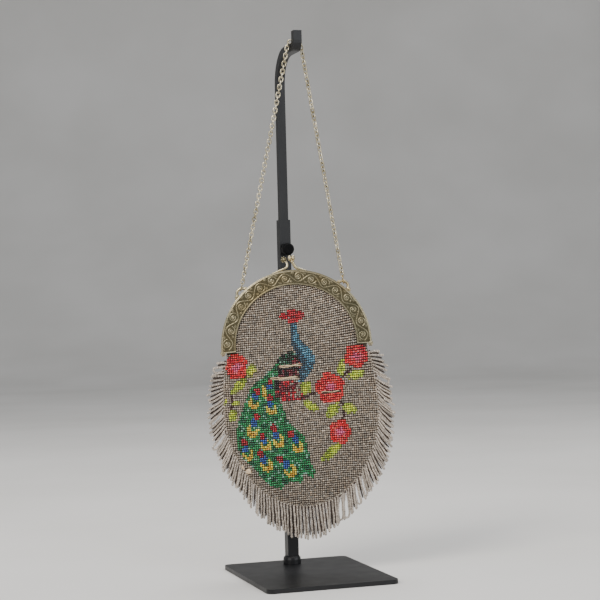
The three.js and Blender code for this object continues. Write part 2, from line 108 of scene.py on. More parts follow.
# The height that parts the upper plain beads from the lower ones
PIECE_LINE = -48
# The spread of each bead's lightness: partly the differences of old glass, partly painted highlights
LIGHT_SPREAD = 0.23
BRIGHTEST = 0.95
# Shares of the green beads and of the plain beads that get a lighter tone as a painted highlight
PAINTED_GLINT_SHARE = 0.13
PALE_GLINT_SHARE = 0.06
# How much lighter the plain beads get at the upper right, and how much darker at the bottom
UPPER_LIGHT = 0.16
LOWER_DARK = 0.13
# The row of beads over the sewn edge
SEAM_PITCH = 1.85
SEAM_RADIUS = 1.2
SEAM_SINK = 1.0
# How much the seam's beads are darkened, as painted shade along the sewn edge
SEAM_PAINTED_SHADE = 0.8
# The seam's beads that get a near-white tone as painted highlights
SEAM_PAINTED_HIGHLIGHTS = ((62.1, -98.1), (32.3, -141.8), (11.7, -147.6))
SEAM_HIGHLIGHT_TONE = (250, 244, 224)

# Stand
STAND_TURN = math.radians(17.5)
HOOK = (14.61, -46.35, 489.85)
HOOK_HALF = 4.04
SCREW_HEIGHT = 302.0


# Colour and vector helpers
def linear(red, green, blue):
    """A colour from 0-255 values, as Blender's linear ones."""
    values = []
    for value in (red, green, blue):
        share = value / 255
        low = share / 12.92
        high = ((share + 0.055) / 1.055) ** 2.4
        values.append(low if share <= 0.04045 else high)
    return tuple(values)


def rgba(red, green, blue):
    return (*linear(red, green, blue), 1.0)


def smoothstep(value, low, high):
    share = np.clip((value - low) / (high - low), 0, 1)
    return share * share * (3 - 2 * share)


def full_turn(steps):
    """Evenly spaced angles round a circle."""
    return np.arange(steps) * 2 * math.pi / steps


def unit(vectors):
    return vectors / np.maximum(np.linalg.norm(vectors, axis=-1, keepdims=True), 1e-9)


def purse_to_world(points):
    """Turns purse points into the part's frame."""
    points = np.asarray(points, dtype=float)
    cos, sin = math.cos(PURSE_TILT), math.sin(PURSE_TILT)
    x, y, z = points[..., 0], points[..., 1], points[..., 2]
    turned = np.stack([x * cos - z * sin, y, x * sin + z * cos], axis=-1)
    return turned + np.array(PURSE_PLACE)


def stand_to_world(points):
    """Turns points on the stand's own axes into the part's frame."""
    cos, sin = math.cos(STAND_TURN), math.sin(STAND_TURN)
    x, y, z = points[..., 0], points[..., 1], points[..., 2]
    return np.stack([x * cos - y * sin, x * sin + y * cos, z], axis=-1)


def quarter_turned(ways):
    """Directions in the purse's plane, each a quarter turn clockwise from the given one."""
    return np.stack([ways[:, 1], -ways[:, 0]], axis=1)


def with_depth(flat, depth=0.0):
    """Points of the purse's plane, each given as x and z, set at a depth."""
    return np.stack([flat[:, 0], np.broadcast_to(depth, len(flat)), flat[:, 1]], axis=1)


def path_lengths(path):
    """How far along a path each of its points is."""
    return np.concatenate([[0], np.cumsum(np.linalg.norm(np.diff(path, axis=0), axis=1))])


def on_path(path, lengths, places):
    """The path's points at the given distances along it."""
    return np.stack([np.interp(places, lengths, axis) for axis in path.T], axis=-1)


# Mesh helpers. A form is a pair: its points, and a list of face arrays
def join_forms(forms):
    """One form made of many."""
    points, faces, start = [], [], 0
    for form_points, form_faces in forms:
        points.append(np.asarray(form_points, dtype=float))
        faces.extend(np.asarray(part) + start for part in form_faces)
        start += len(form_points)
    return np.concatenate(points), faces


def placed(name, data):
    """A new object in the scene."""
    holder = bpy.data.objects.new(name, data)
    bpy.context.collection.objects.link(holder)
    return holder


def make_object(name, points, faces, material, body="root", sharp=None, colours=None, values=None):
    """A mesh object from millimetre points in the part's frame."""
    mesh = bpy.data.meshes.new(name)
    loops = np.concatenate([part.ravel() for part in faces]).astype(np.int32)
    sizes = np.concatenate([np.full(len(part), part.shape[1]) for part in faces])
    starts = np.concatenate([[0], np.cumsum(sizes)[:-1]]).astype(np.int32)
    mesh.vertices.add(len(points))
    mesh.vertices.foreach_set("co", (np.asarray(points) * MM).astype(np.float32).ravel())
    mesh.loops.add(len(loops))
    mesh.loops.foreach_set("vertex_index", loops)
    mesh.polygons.add(len(sizes))
    mesh.polygons.foreach_set("loop_start", starts)
    mesh.update(calc_edges=True)
    mesh.validate()
    mesh.shade_smooth()
    if sharp is not None:
        mesh.set_sharp_from_angle(angle=math.radians(sharp))
    if colours is not None:
        layer = mesh.color_attributes.new("tint", "FLOAT_COLOR", "POINT")
        full = np.ones((len(points), 4), dtype=np.float32)
        full[:, :3] = colours
        layer.data.foreach_set("color", full.ravel())
    if values is not None:
        layer = mesh.attributes.new("relief", "FLOAT", "POINT")
        layer.data.foreach_set("value", np.asarray(values, dtype=np.float32))
    mesh.materials.append(material)
    piece = placed(name, mesh)
    if body:
        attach(piece, body)
    return piece


def painted_node(name, material):
    """A CAD node with this material in place of its own."""
    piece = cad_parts[name]
    piece.data.materials.clear()
    piece.data.materials.append(material)
    return piece


def grid_faces(rows, columns, close_rows=False, close_columns=False):
    """Quads between the points of a grid, in rows of points."""
    row = np.arange(rows if close_rows else rows - 1)
    column = np.arange(columns if close_columns else columns - 1)
    a, b = np.meshgrid(row, column, indexing="ij")
    a, b = a.ravel(), b.ravel()
    a2, b2 = (a + 1) % rows, (b + 1) % columns
    return np.stack([a * columns + b, a * columns + b2, a2 * columns + b2, a2 * columns + b], axis=1)


def shell_faces(rows, columns):
    """Faces of a closed form whose rows are rings, with a cap at each end."""
    first = np.arange(columns)[::-1][None, :]
    last = (np.arange(columns) + (rows - 1) * columns)[None, :]
    return [grid_faces(rows, columns, close_columns=True), first, last]


def inside_out(faces):
    """Faces turned to look the other way."""
    return [part[:, ::-1] for part in faces]


def circles(side, up, sides, flat=1.0):
    """A circle of points for each pair of directions. flat widens it along the first."""
    angle = full_turn(sides)
    return (
        flat * np.cos(angle)[None, :, None] * side[:, None, :]
        + np.sin(angle)[None, :, None] * up[:, None, :]
    )


def tube(path, radius, sides, flat=1.0):
    """A closed tube along an open path. flat widens it from front to back."""
    along = unit(np.gradient(path, axis=0))
    across = np.broadcast_to(np.array([0.0, 1.0, 0.0]), path.shape)
    side = unit(across - along * np.sum(across * along, axis=1, keepdims=True))
    up = np.cross(along, side)
    points = path[:, None, :] + circles(side, up, sides, flat) * radius[:, None, None]
    return points.reshape(-1, 3), shell_faces(len(path), sides)


def ring_tube(path, radius, sides, normal):
    """A closed tube along a closed path that lies in one plane."""
    along = unit(np.roll(path, -1, axis=0) - np.roll(path, 1, axis=0))
    up = np.broadcast_to(normal, path.shape)
    side = np.cross(up, along)
    points = path[:, None, :] + circles(side, up, sides) * radius
    faces = [grid_faces(len(path), sides, close_rows=True, close_columns=True)]
    return points.reshape(-1, 3), faces


def lathe(profile, steps, ridge=None):
    """A closed form turned round z. ridge gives a share to add to each angle's radius."""
    profile = np.asarray(profile, dtype=float)
    angle = full_turn(steps)
    swell = np.ones((len(profile), steps))
    if ridge is not None:
        swell = swell + ridge(np.arange(len(profile))[:, None], angle[None, :])
    x = profile[:, 0, None] * swell * np.cos(angle)
    y = profile[:, 0, None] * swell * np.sin(angle)
    z = np.broadcast_to(profile[:, 1, None], x.shape)
    return np.stack([x, y, z], axis=-1).reshape(-1, 3), shell_faces(len(profile), steps)


def curve_points(rows, steps):
    """A smooth curve through the given points."""
    rows = np.asarray(rows, dtype=float)
    padded = np.vstack([2 * rows[0] - rows[1], rows, 2 * rows[-1] - rows[-2]])
    out = []
    for i in range(1, len(padded) - 2):
        a, b, c, d = padded[i - 1], padded[i], padded[i + 1], padded[i + 2]
        for t in np.linspace(0, 1, steps, endpoint=False):
            out.append(
                0.5 * (2 * b + (c - a) * t + (2 * a - 5 * b + 4 * c - d) * t**2
                       + (3 * b - a - 3 * c + d) * t**3)
            )
    out.append(rows[-1])
    return np.array(out)


# Material helpers
class Nodes:
    """A new node material, with short calls for the nodes that the finishes share."""

    def __init__(self, name, slot_colour, roughness, metallic=0.0):
        self.material = bpy.data.materials.new(name)
        self.material.use_nodes = True
        self.material.diffuse_color = slot_colour
        self.tree = self.material.node_tree
        self.shader = self.tree.nodes["Principled BSDF"]
        self.shader.inputs["Base Color"].default_value = slot_colour
        self.shader.inputs["Roughness"].default_value = roughness
        self.shader.inputs["Metallic"].default_value = metallic
        self.place = self.new("ShaderNodeTexCoord").outputs["Object"]

    def new(self, kind):
        return self.tree.nodes.new(kind)

    def link(self, source, target):
        self.tree.links.new(source, target)

    def noise(self, scale, detail=3.0, stretch=None):
        node = self.new("ShaderNodeTexNoise")
        node.inputs["Scale"].default_value = scale
        node.inputs["Detail"].default_value = detail
        if stretch is None:
            self.link(self.place, node.inputs["Vector"])
        else:
            mapping = self.new("ShaderNodeMapping")
            mapping.inputs["Scale"].default_value = stretch
            self.link(self.place, mapping.inputs["Vector"])
            self.link(mapping.outputs["Vector"], node.inputs["Vector"])
        return node.outputs["Fac"]

    def ramp(self, source, stops):
        node = self.new("ShaderNodeValToRGB")
        elements = node.color_ramp.elements
        for element, (place, colour) in zip(elements, (stops[0], stops[-1])):
            element.position = place
            element.color = colour
        for place, colour in stops[1:-1]:
            element = elements.new(place)
            element.color = colour
        self.link(source, node.inputs["Fac"])
        return node.outputs["Color"]

    def grey(self, source, low, high, bottom, top):
        """A number from bottom to top while the source goes from low to high."""
        node = self.new("ShaderNodeMapRange")
        limits = {"From Min": low, "From Max": high, "To Min": bottom, "To Max": top}
        for name, value in limits.items():
            node.inputs[name].default_value = value
        self.link(source, node.inputs["Value"])
        return node.outputs["Result"]

    def multiply(self, share, first, second):
        """The first colour, darkened by a share of the second."""
        node = self.new("ShaderNodeMix")
        node.data_type = "RGBA"
        node.blend_type = "MULTIPLY"
        node.inputs[0].default_value = share
        self.link(first, node.inputs[6])
        self.link(second, node.inputs[7])
        return node.outputs[2]

    def attribute(self, name):
        node = self.new("ShaderNodeAttribute")
        node.attribute_name = name
        return node

    def bump(self, source, strength, distance):
        node = self.new("ShaderNodeBump")
        node.inputs["Strength"].default_value = strength
        node.inputs["Distance"].default_value = distance
        self.link(source, node.inputs["Height"])
        self.link(node.outputs["Normal"], self.shader.inputs["Normal"])

    def colour(self, source):
        self.link(source, self.shader.inputs["Base Color"])

    def rough(self, source):
        self.link(source, self.shader.inputs["Roughness"])


def black_paint():
    """Satin black paint with faint dust and a fine grain."""
    nodes = Nodes("stand_black", rgba(16, 16, 17), 0.42)
    nodes.shader.inputs["Specular IOR Level"].default_value = 0.37
    dust = nodes.noise(60, 4)
    grain = nodes.noise(900, 2)
    nodes.colour(nodes.ramp(dust, [(0.35, rgba(13, 13, 14)), (0.75, rgba(20, 20, 22))]))
    nodes.rough(nodes.grey(dust, 0.3, 0.7, 0.38, 0.45))
    nodes.bump(grain, 0.25, 0.0001)
    return nodes.material


def knob_plastic():
    """Dull black plastic."""
    nodes = Nodes("knob_black", rgba(4, 4, 5), 0.6)
    nodes.shader.inputs["Specular IOR Level"].default_value = 0.12
    grain = nodes.noise(1400, 2)
    nodes.colour(nodes.ramp(grain, [(0.3, rgba(1, 1, 2)), (0.8, rgba(6, 6, 7))]))
    nodes.bump(grain, 0.3, 0.00008)
    return nodes.material


def aged_silver():
    """Worn silver plate with a tarnished mid ground, painted highlight on the raised tops and painted shade
    on the slopes between.
    """
    nodes = Nodes("frame_metal", rgba(165, 158, 128), 0.4, metallic=1.0)
    relief = nodes.attribute("relief").outputs["Fac"]
    # Tone by relief: the darkest stop is painted shade on the slopes of the chasing, the palest a painted
    # highlight on its raised tops, partly rubbed-bright metal.
    tarnish_and_painted_light = nodes.ramp(relief, [
        (0.08, rgba(104, 98, 79)),
        (0.2, rgba(98, 92, 73)),
        (0.34, rgba(72, 67, 52)),
        (0.6, rgba(140, 133, 112)),
        (1.0, rgba(196, 187, 162)),
    ])
    patches = nodes.noise(45, 4)
    warm = nodes.ramp(patches, [
        (0.3, rgba(216, 220, 210)),
        (0.5, rgba(250, 246, 234)),
        (0.68, rgba(236, 220, 184)),
    ])
    nodes.colour(nodes.multiply(0.75, tarnish_and_painted_light, warm))
    fine = nodes.noise(700, 3)
    nodes.rough(nodes.grey(fine, 0.3, 0.7, 0.3, 0.48))
    nodes.bump(fine, 0.2, 0.00012)
    return nodes.material


def smooth_silver(name, tone, dark):
    """The plainer metal of the chain and pins."""
    nodes = Nodes(name, tone, 0.34, metallic=1.0)
    patches = nodes.noise(160, 3)
    nodes.colour(nodes.ramp(patches, [(0.36, dark), (0.6, tone)]))
    fine = nodes.noise(1500, 2)
    nodes.rough(nodes.grey(fine, 0.3, 0.7, 0.26, 0.44))
    nodes.bump(fine, 0.15, 0.00008)
    return nodes.material


def bead_glass(name):
    """Small glass beads, each with its own tone from the mesh."""
    nodes = Nodes(name, rgba(176, 163, 150), 0.27)
    tint = nodes.attribute("tint").outputs["Color"]
    streaks = nodes.noise(1300, 2)
    shade = nodes.ramp(streaks, [(0.3, rgba(214, 210, 206)), (0.7, rgba(255, 255, 255))])
    nodes.colour(nodes.multiply(1.0, tint, shade))
    nodes.rough(nodes.grey(streaks, 0.3, 0.7, 0.16, 0.32))
    nodes.shader.inputs["Coat Weight"].default_value = 0.5
    nodes.shader.inputs["Coat Roughness"].default_value = 0.09
    return nodes.material


def knit_thread():
    """The brown knitted thread between the beads, made dark so that it also stands for painted shade in the
    gaps.
    """
    nodes = Nodes("beadwork_thread", rgba(44, 33, 26), 0.85)
    fibre = nodes.noise(900, 4, stretch=(1, 1, 3))
    nodes.colour(nodes.ramp(fibre, [(0.3, rgba(30, 22, 18)), (0.7, rgba(68, 53, 43))]))
    nodes.bump(fibre, 0.6, 0.0003)
    return nodes.material


def torn_cloth():
    """The cream lining and thread that show where beads are gone."""
    nodes = Nodes("beadwork_lining", rgba(226, 206, 172), 0.9)
    weave = nodes.noise(1100, 3, stretch=(1, 1, 2.5))
    stain = nodes.noise(260, 2)
    cloth = nodes.ramp(weave, [(0.3, rgba(186, 160, 124)), (0.65, rgba(240, 224, 196))])
    tone = nodes.ramp(stain, [(0.35, rgba(225, 200, 170)), (0.6, rgba(255, 250, 242))])
    nodes.colour(nodes.multiply(0.8, cloth, tone))
    nodes.bump(weave, 0.7, 0.0003)
    nodes.shader.inputs["Sheen Weight"].default_value = 0.3
    return nodes.material


def floor_paper():
    """Pale, slightly cloudy paper."""
    nodes = Nodes("studio_floor", rgba(222, 219, 214), 0.8)
    cloud = nodes.noise(2.2, 3)
    nodes.colour(nodes.ramp(cloud, [(0.3, rgba(214, 211, 206)), (0.7, rgba(226, 223, 219))]))
    return nodes.material


# Pouch surface
def pouch_outline():
    """The pouch's edge, from the right hinge over the top and back round the bottom."""
    def side(share):
        drop = share * BAG_WIDEST
        swell = np.maximum(0, (drop - SIDE_TOP) / (BAG_WIDEST - SIDE_TOP))
        swelled = MOUTH_RADIUS + (BAG_HALF_WIDTH - MOUTH_RADIUS) * np.sin(swell * math.pi / 2) ** 0.6
        return swelled, -drop

    turn = np.linspace(0, math.pi, OUTLINE_STEPS, endpoint=False)
    share = np.linspace(0, 1, OUTLINE_STEPS // 3, endpoint=False)
    width, z = side(share)
    back_width, back_z = side(1 - share)
    bottom = BAG_BOTTOM - BAG_WIDEST
    return np.concatenate([
        np.stack([MOUTH_RADIUS * np.cos(turn), MOUTH_RADIUS * np.sin(turn)], axis=1),
        np.stack([-width, z], axis=1),
        np.stack([-BAG_HALF_WIDTH * np.cos(turn), -BAG_WIDEST - bottom * np.sin(turn)], axis=1),
        np.stack([back_width, back_z], axis=1),
    ])


OUTLINE = pouch_outline()
OUTLINE_ANGLE = np.arctan2(OUTLINE[:, 1] - MIDDLE_Z, OUTLINE[:, 0])
OUTLINE_REACH = np.hypot(OUTLINE[:, 0], OUTLINE[:, 1] - MIDDLE_Z)


def edge_reach(angle):
    """How far the pouch's edge is from its middle, at each angle."""
    return np.interp(angle, OUTLINE_ANGLE, OUTLINE_REACH, period=2 * math.pi)


def edge_share(x, z):
    """How far each point is from the pouch's middle to its edge, the edge's reach and height."""
    angle = np.arctan2(z - MIDDLE_Z, x)
    reach = edge_reach(angle)
    edge_z = MIDDLE_Z + reach * np.sin(angle)
    return np.hypot(x, z - MIDDLE_Z) / reach, reach, edge_z


def half_thickness(x, z):
    """Half the pouch's thickness at points of its flat outline."""
    share, reach, edge_z = edge_share(x, z)
    share = np.clip(share, 0, 1)
    mouth = smoothstep(edge_z, -SIDE_TOP, MOUTH_BLEND)
    flat = mouth * MOUTH_FLAT
    inward = np.maximum(0, (1 - share) * reach - flat) / (reach - flat)
    fullness = 1 - TOP_THINNING * smoothstep(z, -0.5 * BAG_BOTTOM, MOUTH_RADIUS)
    at_edge = SEAM_HALF + (MOUTH_HALF - SEAM_HALF) * mouth
    swell = (1 - (1 - inward) ** 2.6) ** 0.7
    closing = np.maximum(0, 1 - share**2) ** (SEAM_CLOSING + (MOUTH_CLOSING - SEAM_CLOSING) * mouth)
    dents = np.sin(x / 12 + z / 31 + 1.1) * np.sin(z / 19 - x / 37) - 0.5 * np.sin(x / 8.5 - z / 23)
    slack = DENT_DEPTH * dents * np.sqrt(inward)
    return (at_edge + (fullness * BAG_HALF_DEPTH - at_edge) * swell + slack) * closing


def pouch_thread():
    """A closed knitted shell just under the beads."""
    around, rings = 220, 44
    angle = full_turn(around)
    reach = edge_reach(angle) - THREAD_INSET
    shares = np.sin(np.linspace(0.03, math.pi / 2, rings))
    layers = [(share, -1) for share in shares] + [(share, 1) for share in shares[-2::-1]]
    points = []
    for share, side in layers:
        x = share * reach * np.cos(angle)
        z = MIDDLE_Z + share * reach * np.sin(angle)
        depth = 0.0 if share == shares[-1] else side
        y = depth * np.maximum(0, half_thickness(x, z) - THREAD_SINK)
        points.append(np.stack([x, y, z], axis=1))
    points = purse_to_world(np.concatenate(points))
    faces = inside_out(shell_faces(len(layers), around))
    piece = make_object("pouch_thread", points, faces, THREAD_MATERIAL)
    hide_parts("bag_body")


# The picture in the beadwork, as shapes in purse millimetres
TONES = {
    "ground": (164, 152, 137),
    "red": (250, 44, 48),
    "orange_red": (255, 92, 78),
    "deep_red": (208, 26, 48),
    "crest": (206, 38, 54),
    "rose_pink": (255, 102, 114),
    "pink": (255, 100, 144),
    "leaf": (218, 240, 68),
    "leaf_dark": (168, 196, 58),
    "leaf_olive": (158, 166, 82),
    "stem": (66, 34, 32),
    "neck": (86, 146, 174),
    "neck_dark": (52, 82, 100),
    "body": (30, 58, 46),
    "black": (26, 22, 24),
    "maroon": (112, 34, 48),
    "tail": (30, 138, 80),
    "tail_dark": (14, 92, 62),
    # The light green tone of the painted glints on the green beads
    "glint": (150, 222, 190),
    "yellow": (246, 214, 74),
    "gold": (220, 170, 50),
    "blue": (40, 88, 168),
    "crimson": (176, 26, 44),
}


def own_axes(x, z, middle, turn):
    """Points as seen from a shape's own middle and turn, in degrees."""
    cos, sin = math.cos(math.radians(turn)), math.sin(math.radians(turn))
    dx, dz = x - middle[0], z - middle[1]
    return dx * cos + dz * sin, dz * cos - dx * sin


def in_ellipse(x, z, middle, size, turn=0.0):
    along, across = own_axes(x, z, middle, turn)
    return (along / size[0]) ** 2 + (across / size[1]) ** 2 < 1


def in_leaf(x, z, middle, length, width, turn):
    """A pointed leaf."""
    along, across = own_axes(x, z, middle, turn)
    share = np.abs(along) / (length / 2)
    return (share < 1) & (np.abs(across) < width / 2 * np.sqrt(np.maximum(0, 1 - share**1.6)))


def near_line(x, z, points, widths):
    """True within a line whose half width changes along it."""
    found = np.zeros(x.shape, dtype=bool)
    for (a, b), (wa, wb) in zip(zip(points, points[1:]), zip(widths, widths[1:])):
        dx, dz = b[0] - a[0], b[1] - a[1]
        share = np.clip(((x - a[0]) * dx + (z - a[1]) * dz) / (dx * dx + dz * dz), 0, 1)
        far = np.hypot(x - a[0] - share * dx, z - a[1] - share * dz)
        found |= far < wa + (wb - wa) * share
    return found


def in_polygon(x, z, corners):
    """True where an odd number of edges lie to the right."""
    inside = np.zeros(x.shape, dtype=bool)
    for (ax, az), (bx, bz) in zip(corners, corners[1:] + corners[:1]):
        crosses = (az > z) != (bz > z)
        edge = ax + (z - az) * (bx - ax) / (bz - az + 1e-12)
        inside ^= crosses & (x < edge)
    return inside


ROSES = [
    # middle, size, heart's place
    ((27.7, -41.3), (13.4, 14.6), (28.2, -40.9)),
    ((54.0, -13.6), (11.2, 11.4), (53.8, -14.6)),
    ((34.2, -82.2), (10.0, 11.6), (34.6, -82.0)),
    ((-56.7, -15.2), (10.6, 12.4), (-56.2, -16.8)),
]

LEAVES = [
    # middle, length, width, turn in degrees
    ((39.4, -23.8), 15.5, 8.0, 72),
    ((52.6, -30.9), 18.0, 9.0, 12),
    ((6.0, -39.6), 13.5, 10.0, 60),
    ((9.0, -56.2), 16.0, 9.0, -38),
    ((29.4, -61.0), 21.0, 9.0, 52),
    ((44.4, -61.4), 14.0, 10.5, -14),
    ((25.0, -100.0), 24.0, 9.5, 38),
    ((-43.4, -20.8), 14.0, 8.5, 64),
    ((-55.4, -33.4), 20.0, 8.5, 42),
    ((-63.2, -60.4), 11.0, 9.0, 70),
    ((-59.8, -49.4), 7.5, 5.0, 0),
    ((-69.0, -47.2), 7.0, 3.6, 80),
]

STEMS = [
    [(40.0, -32.4), (44.2, -28.4), (48.4, -25.2)],
    [(34.6, -52.4), (38.4, -57.6), (38.2, -66.0), (37.2, -72.6)],
    [(-50.6, -28.4), (-45.2, -24.6)],
    [(-63.0, -38.8), (-63.4, -46.0), (-63.2, -54.2)],
    [(1.5, -48.8), (8.4, -46.4), (15.4, -43.6)],
]

NECK = [
    # x, z, half width
    (-1.6, 18.6, 3.2), (-1.4, 10.8, 3.8), (-0.8, 3.8, 4.6), (3.0, -2.6, 6.0), (6.6, -8.6, 7.2),
    (9.3, -14.8, 6.6), (8.3, -21.0, 5.4), (4.4, -26.2, 4.4), (2.6, -31.6, 3.0),
]

TAIL = [
    (-13.2, -10.8), (-33.7, -27.7), (-42.4, -33.4), (-46.6, -40.5), (-51.5, -51.6), (-57.0, -62.7),
    (-60.1, -74.4), (-61.4, -84.9), (-60.3, -92.7), (-55.2, -102.9), (-47.5, -110.2),
    (-39.0, -121.9), (-32.4, -127.9), (-23.3, -131.0), (-20.9, -127.8), (-13.5, -124.7),
    (-4.2, -126.3), (-2.5, -118.5), (6.6, -122.5), (8.8, -116.9), (4.3, -107.2), (3.9, -95.6),
    (0.2, -82.5), (-7.4, -74.6), (-13.9, -67.2), (-16.6, -56.5), (-20.4, -44.2), (-22.0, -34.0),
]

FEATHER_EYES = [
    # red, blue and yellow places, and a size; None where a colour is missing
    ((-38.7, -39.2), (-41.0, -43.7), (-42.8, -50.9), 0.95),
    (None, None, (-32.8, -40.6), 0.62),
    ((-27.1, -31.0), (-27.4, -36.4), None, 0.85),
    ((-27.9, -46.4), (-28.2, -51.9), (-26.7, -57.6), 0.92),
    ((-41.1, -62.7), (-44.4, -68.6), (-45.9, -76.3), 1.05),
    ((-26.5, -74.1), (-24.4, -81.0), (-22.6, -87.2), 1.1),
    ((-37.2, -80.7), (-35.6, -85.0), (-34.2, -90.4), 1.0),
    ((-54.5, -85.5), (-53.6, -92.0), (-51.4, -98.0), 0.98),
    ((-40.4, -97.0), (-37.5, -102.4), (-34.6, -108.9), 1.08),
    ((-22.2, -103.3), (-17.6, -108.2), (-13.5, -115.5), 1.12),
    ((-11.0, -80.8), (-7.1, -86.1), (-5.0, -93.4), 1.05),
]

BODY_BANDS = [
    # middle height, half height, left, right, share of its beads, how much fewer at the right,
    # where they start and end to grow fewer, tone
    (-24.0, 4.6, -18.5, 2.6, 1.0, 0.55, -3.0, 2.6, "maroon"),
    (-24.0, 4.6, -18.5, 2.6, 0.3, 0, 0, 1, "black"),
    (-21.4, 1.1, -19.0, 1.0, 1.0, 0, 0, 1, "black"),
    (-38.4, 7.4, -22.6, 7.0, 0.95, 0.8, -16.0, 5.0, "maroon"),
    (-38.4, 7.4, -22.6, -4.0, 0.16, 0, 0, 1, "deep_red"),
    (-34.6, 6.0, -23.4, -18.6, 1.0, 0, 0, 1, "black"),
    (-47.4, 2.2, -17.6, 4.4, 0.9, 0, 0, 1, "maroon"),
    (-47.4, 2.2, -17.6, 4.4, 0.42, 0, 0, 1, "deep_red"),
    (-44.2, 1.2, -17.6, 2.4, 0.5, 0, 0, 1, "deep_red"),
]

CREST = [
    # middle, size
    ((-9.8, 27.4), (3.6, 3.1)), ((-2.8, 29.6), (3.9, 4.4)), ((4.8, 27.6), (4.1, 3.7)),
    ((-1.4, 22.6), (5.4, 2.9)),
]
CREST_GAPS = [((-1.0, 26.2), (1.6, 1.4)), ((-6.3, 28.6), (0.9, 2.6)), ((1.4, 30.6), (0.9, 2.6))]

# Where beads are gone: the ends of each slit and its half height
SLITS = [
    ((-17.2, -18.6), (3.4, -18.0), 1.5),
    ((-26.2, -29.0), (-1.0, -29.4), 1.4),
    ((19.6, -44.4), (36.4, -44.8), 0.75),
]
BARE_SPOTS = [((-58.2, -109.6), 2.7), ((-52.6, -112.8), 3.0)]
BARE_FLATNESS = 0.85


def paint_rose(paint, x, z, rose):
    """A round rose with a lighter side, a darker side, a fold and a pink heart."""
    middle, size, heart = rose
    angle = np.arctan2((z - middle[1]) / size[1], (x - middle[0]) / size[0])
    far = np.hypot((x - middle[0]) / size[0], (z - middle[1]) / size[1])
    turn = middle[0] * 0.37
    petal = far < 0.96 + 0.09 * np.cos(5 * angle + turn)
    chance = rng.random(x.shape)
    paint(petal, "red")
    light_side = np.cos(angle - 2.2 + turn) + 0.6 * np.cos(3 * angle + turn)
    paint(petal & (chance < 0.12 + 0.3 * smoothstep(light_side, 0.1, 1.2)), "orange_red")
    dark_side = np.cos(angle + 0.9 - turn) - 0.5 * np.cos(4 * angle)
    paint(petal & (chance > 0.9 - 0.6 * smoothstep(dark_side, 0.0, 1.2)), "deep_red")
    fold = np.abs(far - 0.62 - 0.08 * np.cos(3 * angle + turn)) < 0.05
    paint(fold & (np.cos(2 * angle + 2 * turn) > -0.2), "deep_red")
    for heart_size, beads, tone in (
        ((6.0, 5.2), 0.55, "rose_pink"),
        ((4.4, 3.7), 0.72, "pink"),
        ((2.6, 2.4), 1.0, "pink"),
    ):
        paint(in_ellipse(x, z, heart, heart_size, 20) & (chance < beads), tone)


def paint_eye(paint, x, z, eye):
    """A feather's eye: a yellow cup under a blue and a crimson spot."""
    red, blue, yellow, size = eye
    top = red or blue
    if yellow:
        ahead = np.array(yellow) - np.array(top) if top else np.array((0.0, -1.0))
        ahead = ahead / np.hypot(*ahead)
        turn = math.degrees(math.atan2(ahead[1], ahead[0])) + 90
        cup = in_ellipse(x, z, yellow, (2.0, 7.0), 8)
        if top:
            cup = in_ellipse(x, z, yellow - 1.2 * ahead, (5.1 * size, 6.2 * size), turn)
            cup &= ~in_ellipse(x, z, yellow - 5.2 * size * ahead, (3.0 * size, 5.4 * size), turn)
        paint(cup, "yellow")
        paint(cup & in_ellipse(x, z, yellow + 2.6 * ahead, (2.6 * size, 1.8 * size), turn), "gold")
    if blue:
        paint(in_ellipse(x, z, blue, (2.9 * size, 3.6 * size), 0), "blue")
    if red:
        paint(in_ellipse(x, z, red, (2.7 * size, 3.5 * size), 12), "crimson")


def picture(x, z):
    """The name of each bead's tone."""
    tones = np.full(x.shape, "ground", dtype="<U12")

    def paint(where, tone):
        tones[where] = tone

    paint(in_polygon(x, z, TAIL), "tail")
    dapples = np.sin(0.42 * x + 0.3 * z) * np.cos(0.36 * z - 0.2 * x) > 0.35
    paint((tones == "tail") & dapples, "tail_dark")
    chance = rng.random(x.shape)
    back_feathers = in_ellipse(x, z, (-7.0, -13.0), (11.5, 7.0), 10)
    paint(back_feathers, "body")
    paint(back_feathers & (chance < 0.3), "tail_dark")
    paint(back_feathers & (chance > 0.72), "black")
    paint(in_ellipse(x, z, (0.4, -15.4), (6.0, 4.0), 5) & (chance < 0.8), "maroon")
    for middle, half, left, right, beads, fewer, start, end, tone in BODY_BANDS:
        band = (np.abs(z - middle) < half) & (x > left) & (x < right)
        paint(band & (chance < beads - fewer * smoothstep(x, start, end)), tone)
    neck, widths = [row[:2] for row in NECK], [row[2] for row in NECK]
    paint(near_line(x, z, neck, widths), "neck")
    shade = [(place - 0.6 * width, height) for place, height, width in NECK]
    paint(near_line(x, z, shade, [0.35 * width for width in widths]), "neck_dark")
    paint((tones == "neck") & (chance < 0.16 + 0.46 * smoothstep(-z, 10, 24)), "neck_dark")
    for middle, size in CREST:
        paint(in_ellipse(x, z, middle, size), "crest")
    paint((tones == "crest") & (chance < 0.3), "deep_red")
    for middle, size in CREST_GAPS:
        paint(in_ellipse(x, z, middle, size), "maroon")
    for points in STEMS:
        paint(near_line(x, z, points, [1.0] * len(points)), "stem")
    for middle, length, width, turn in LEAVES:
        blade = in_leaf(x, z, middle, length, width, turn)
        inside = in_leaf(x, z, middle, length * 0.72, width * 0.66, turn)
        paint(blade & (chance < 0.86), "leaf_olive")
        paint(blade & (chance < 0.5), "leaf_dark")
        paint(inside, "leaf")
        paint(inside & (chance > 0.8), "leaf_dark")
    for rose in ROSES:
        paint_rose(paint, x, z, rose)
    for eye in FEATHER_EYES:
        paint_eye(paint, x, z, eye)
    return tones


def slit_mask(x, z):
    """True where beads are gone."""
    gone = np.zeros(x.shape, dtype=bool)
    for start, end, half in SLITS:
        gone |= near_line(x, z, [start, end], [half, half])
    for middle, size in BARE_SPOTS:
        gone |= in_ellipse(x, z, middle, (size, size * BARE_FLATNESS), -30)
    return gone


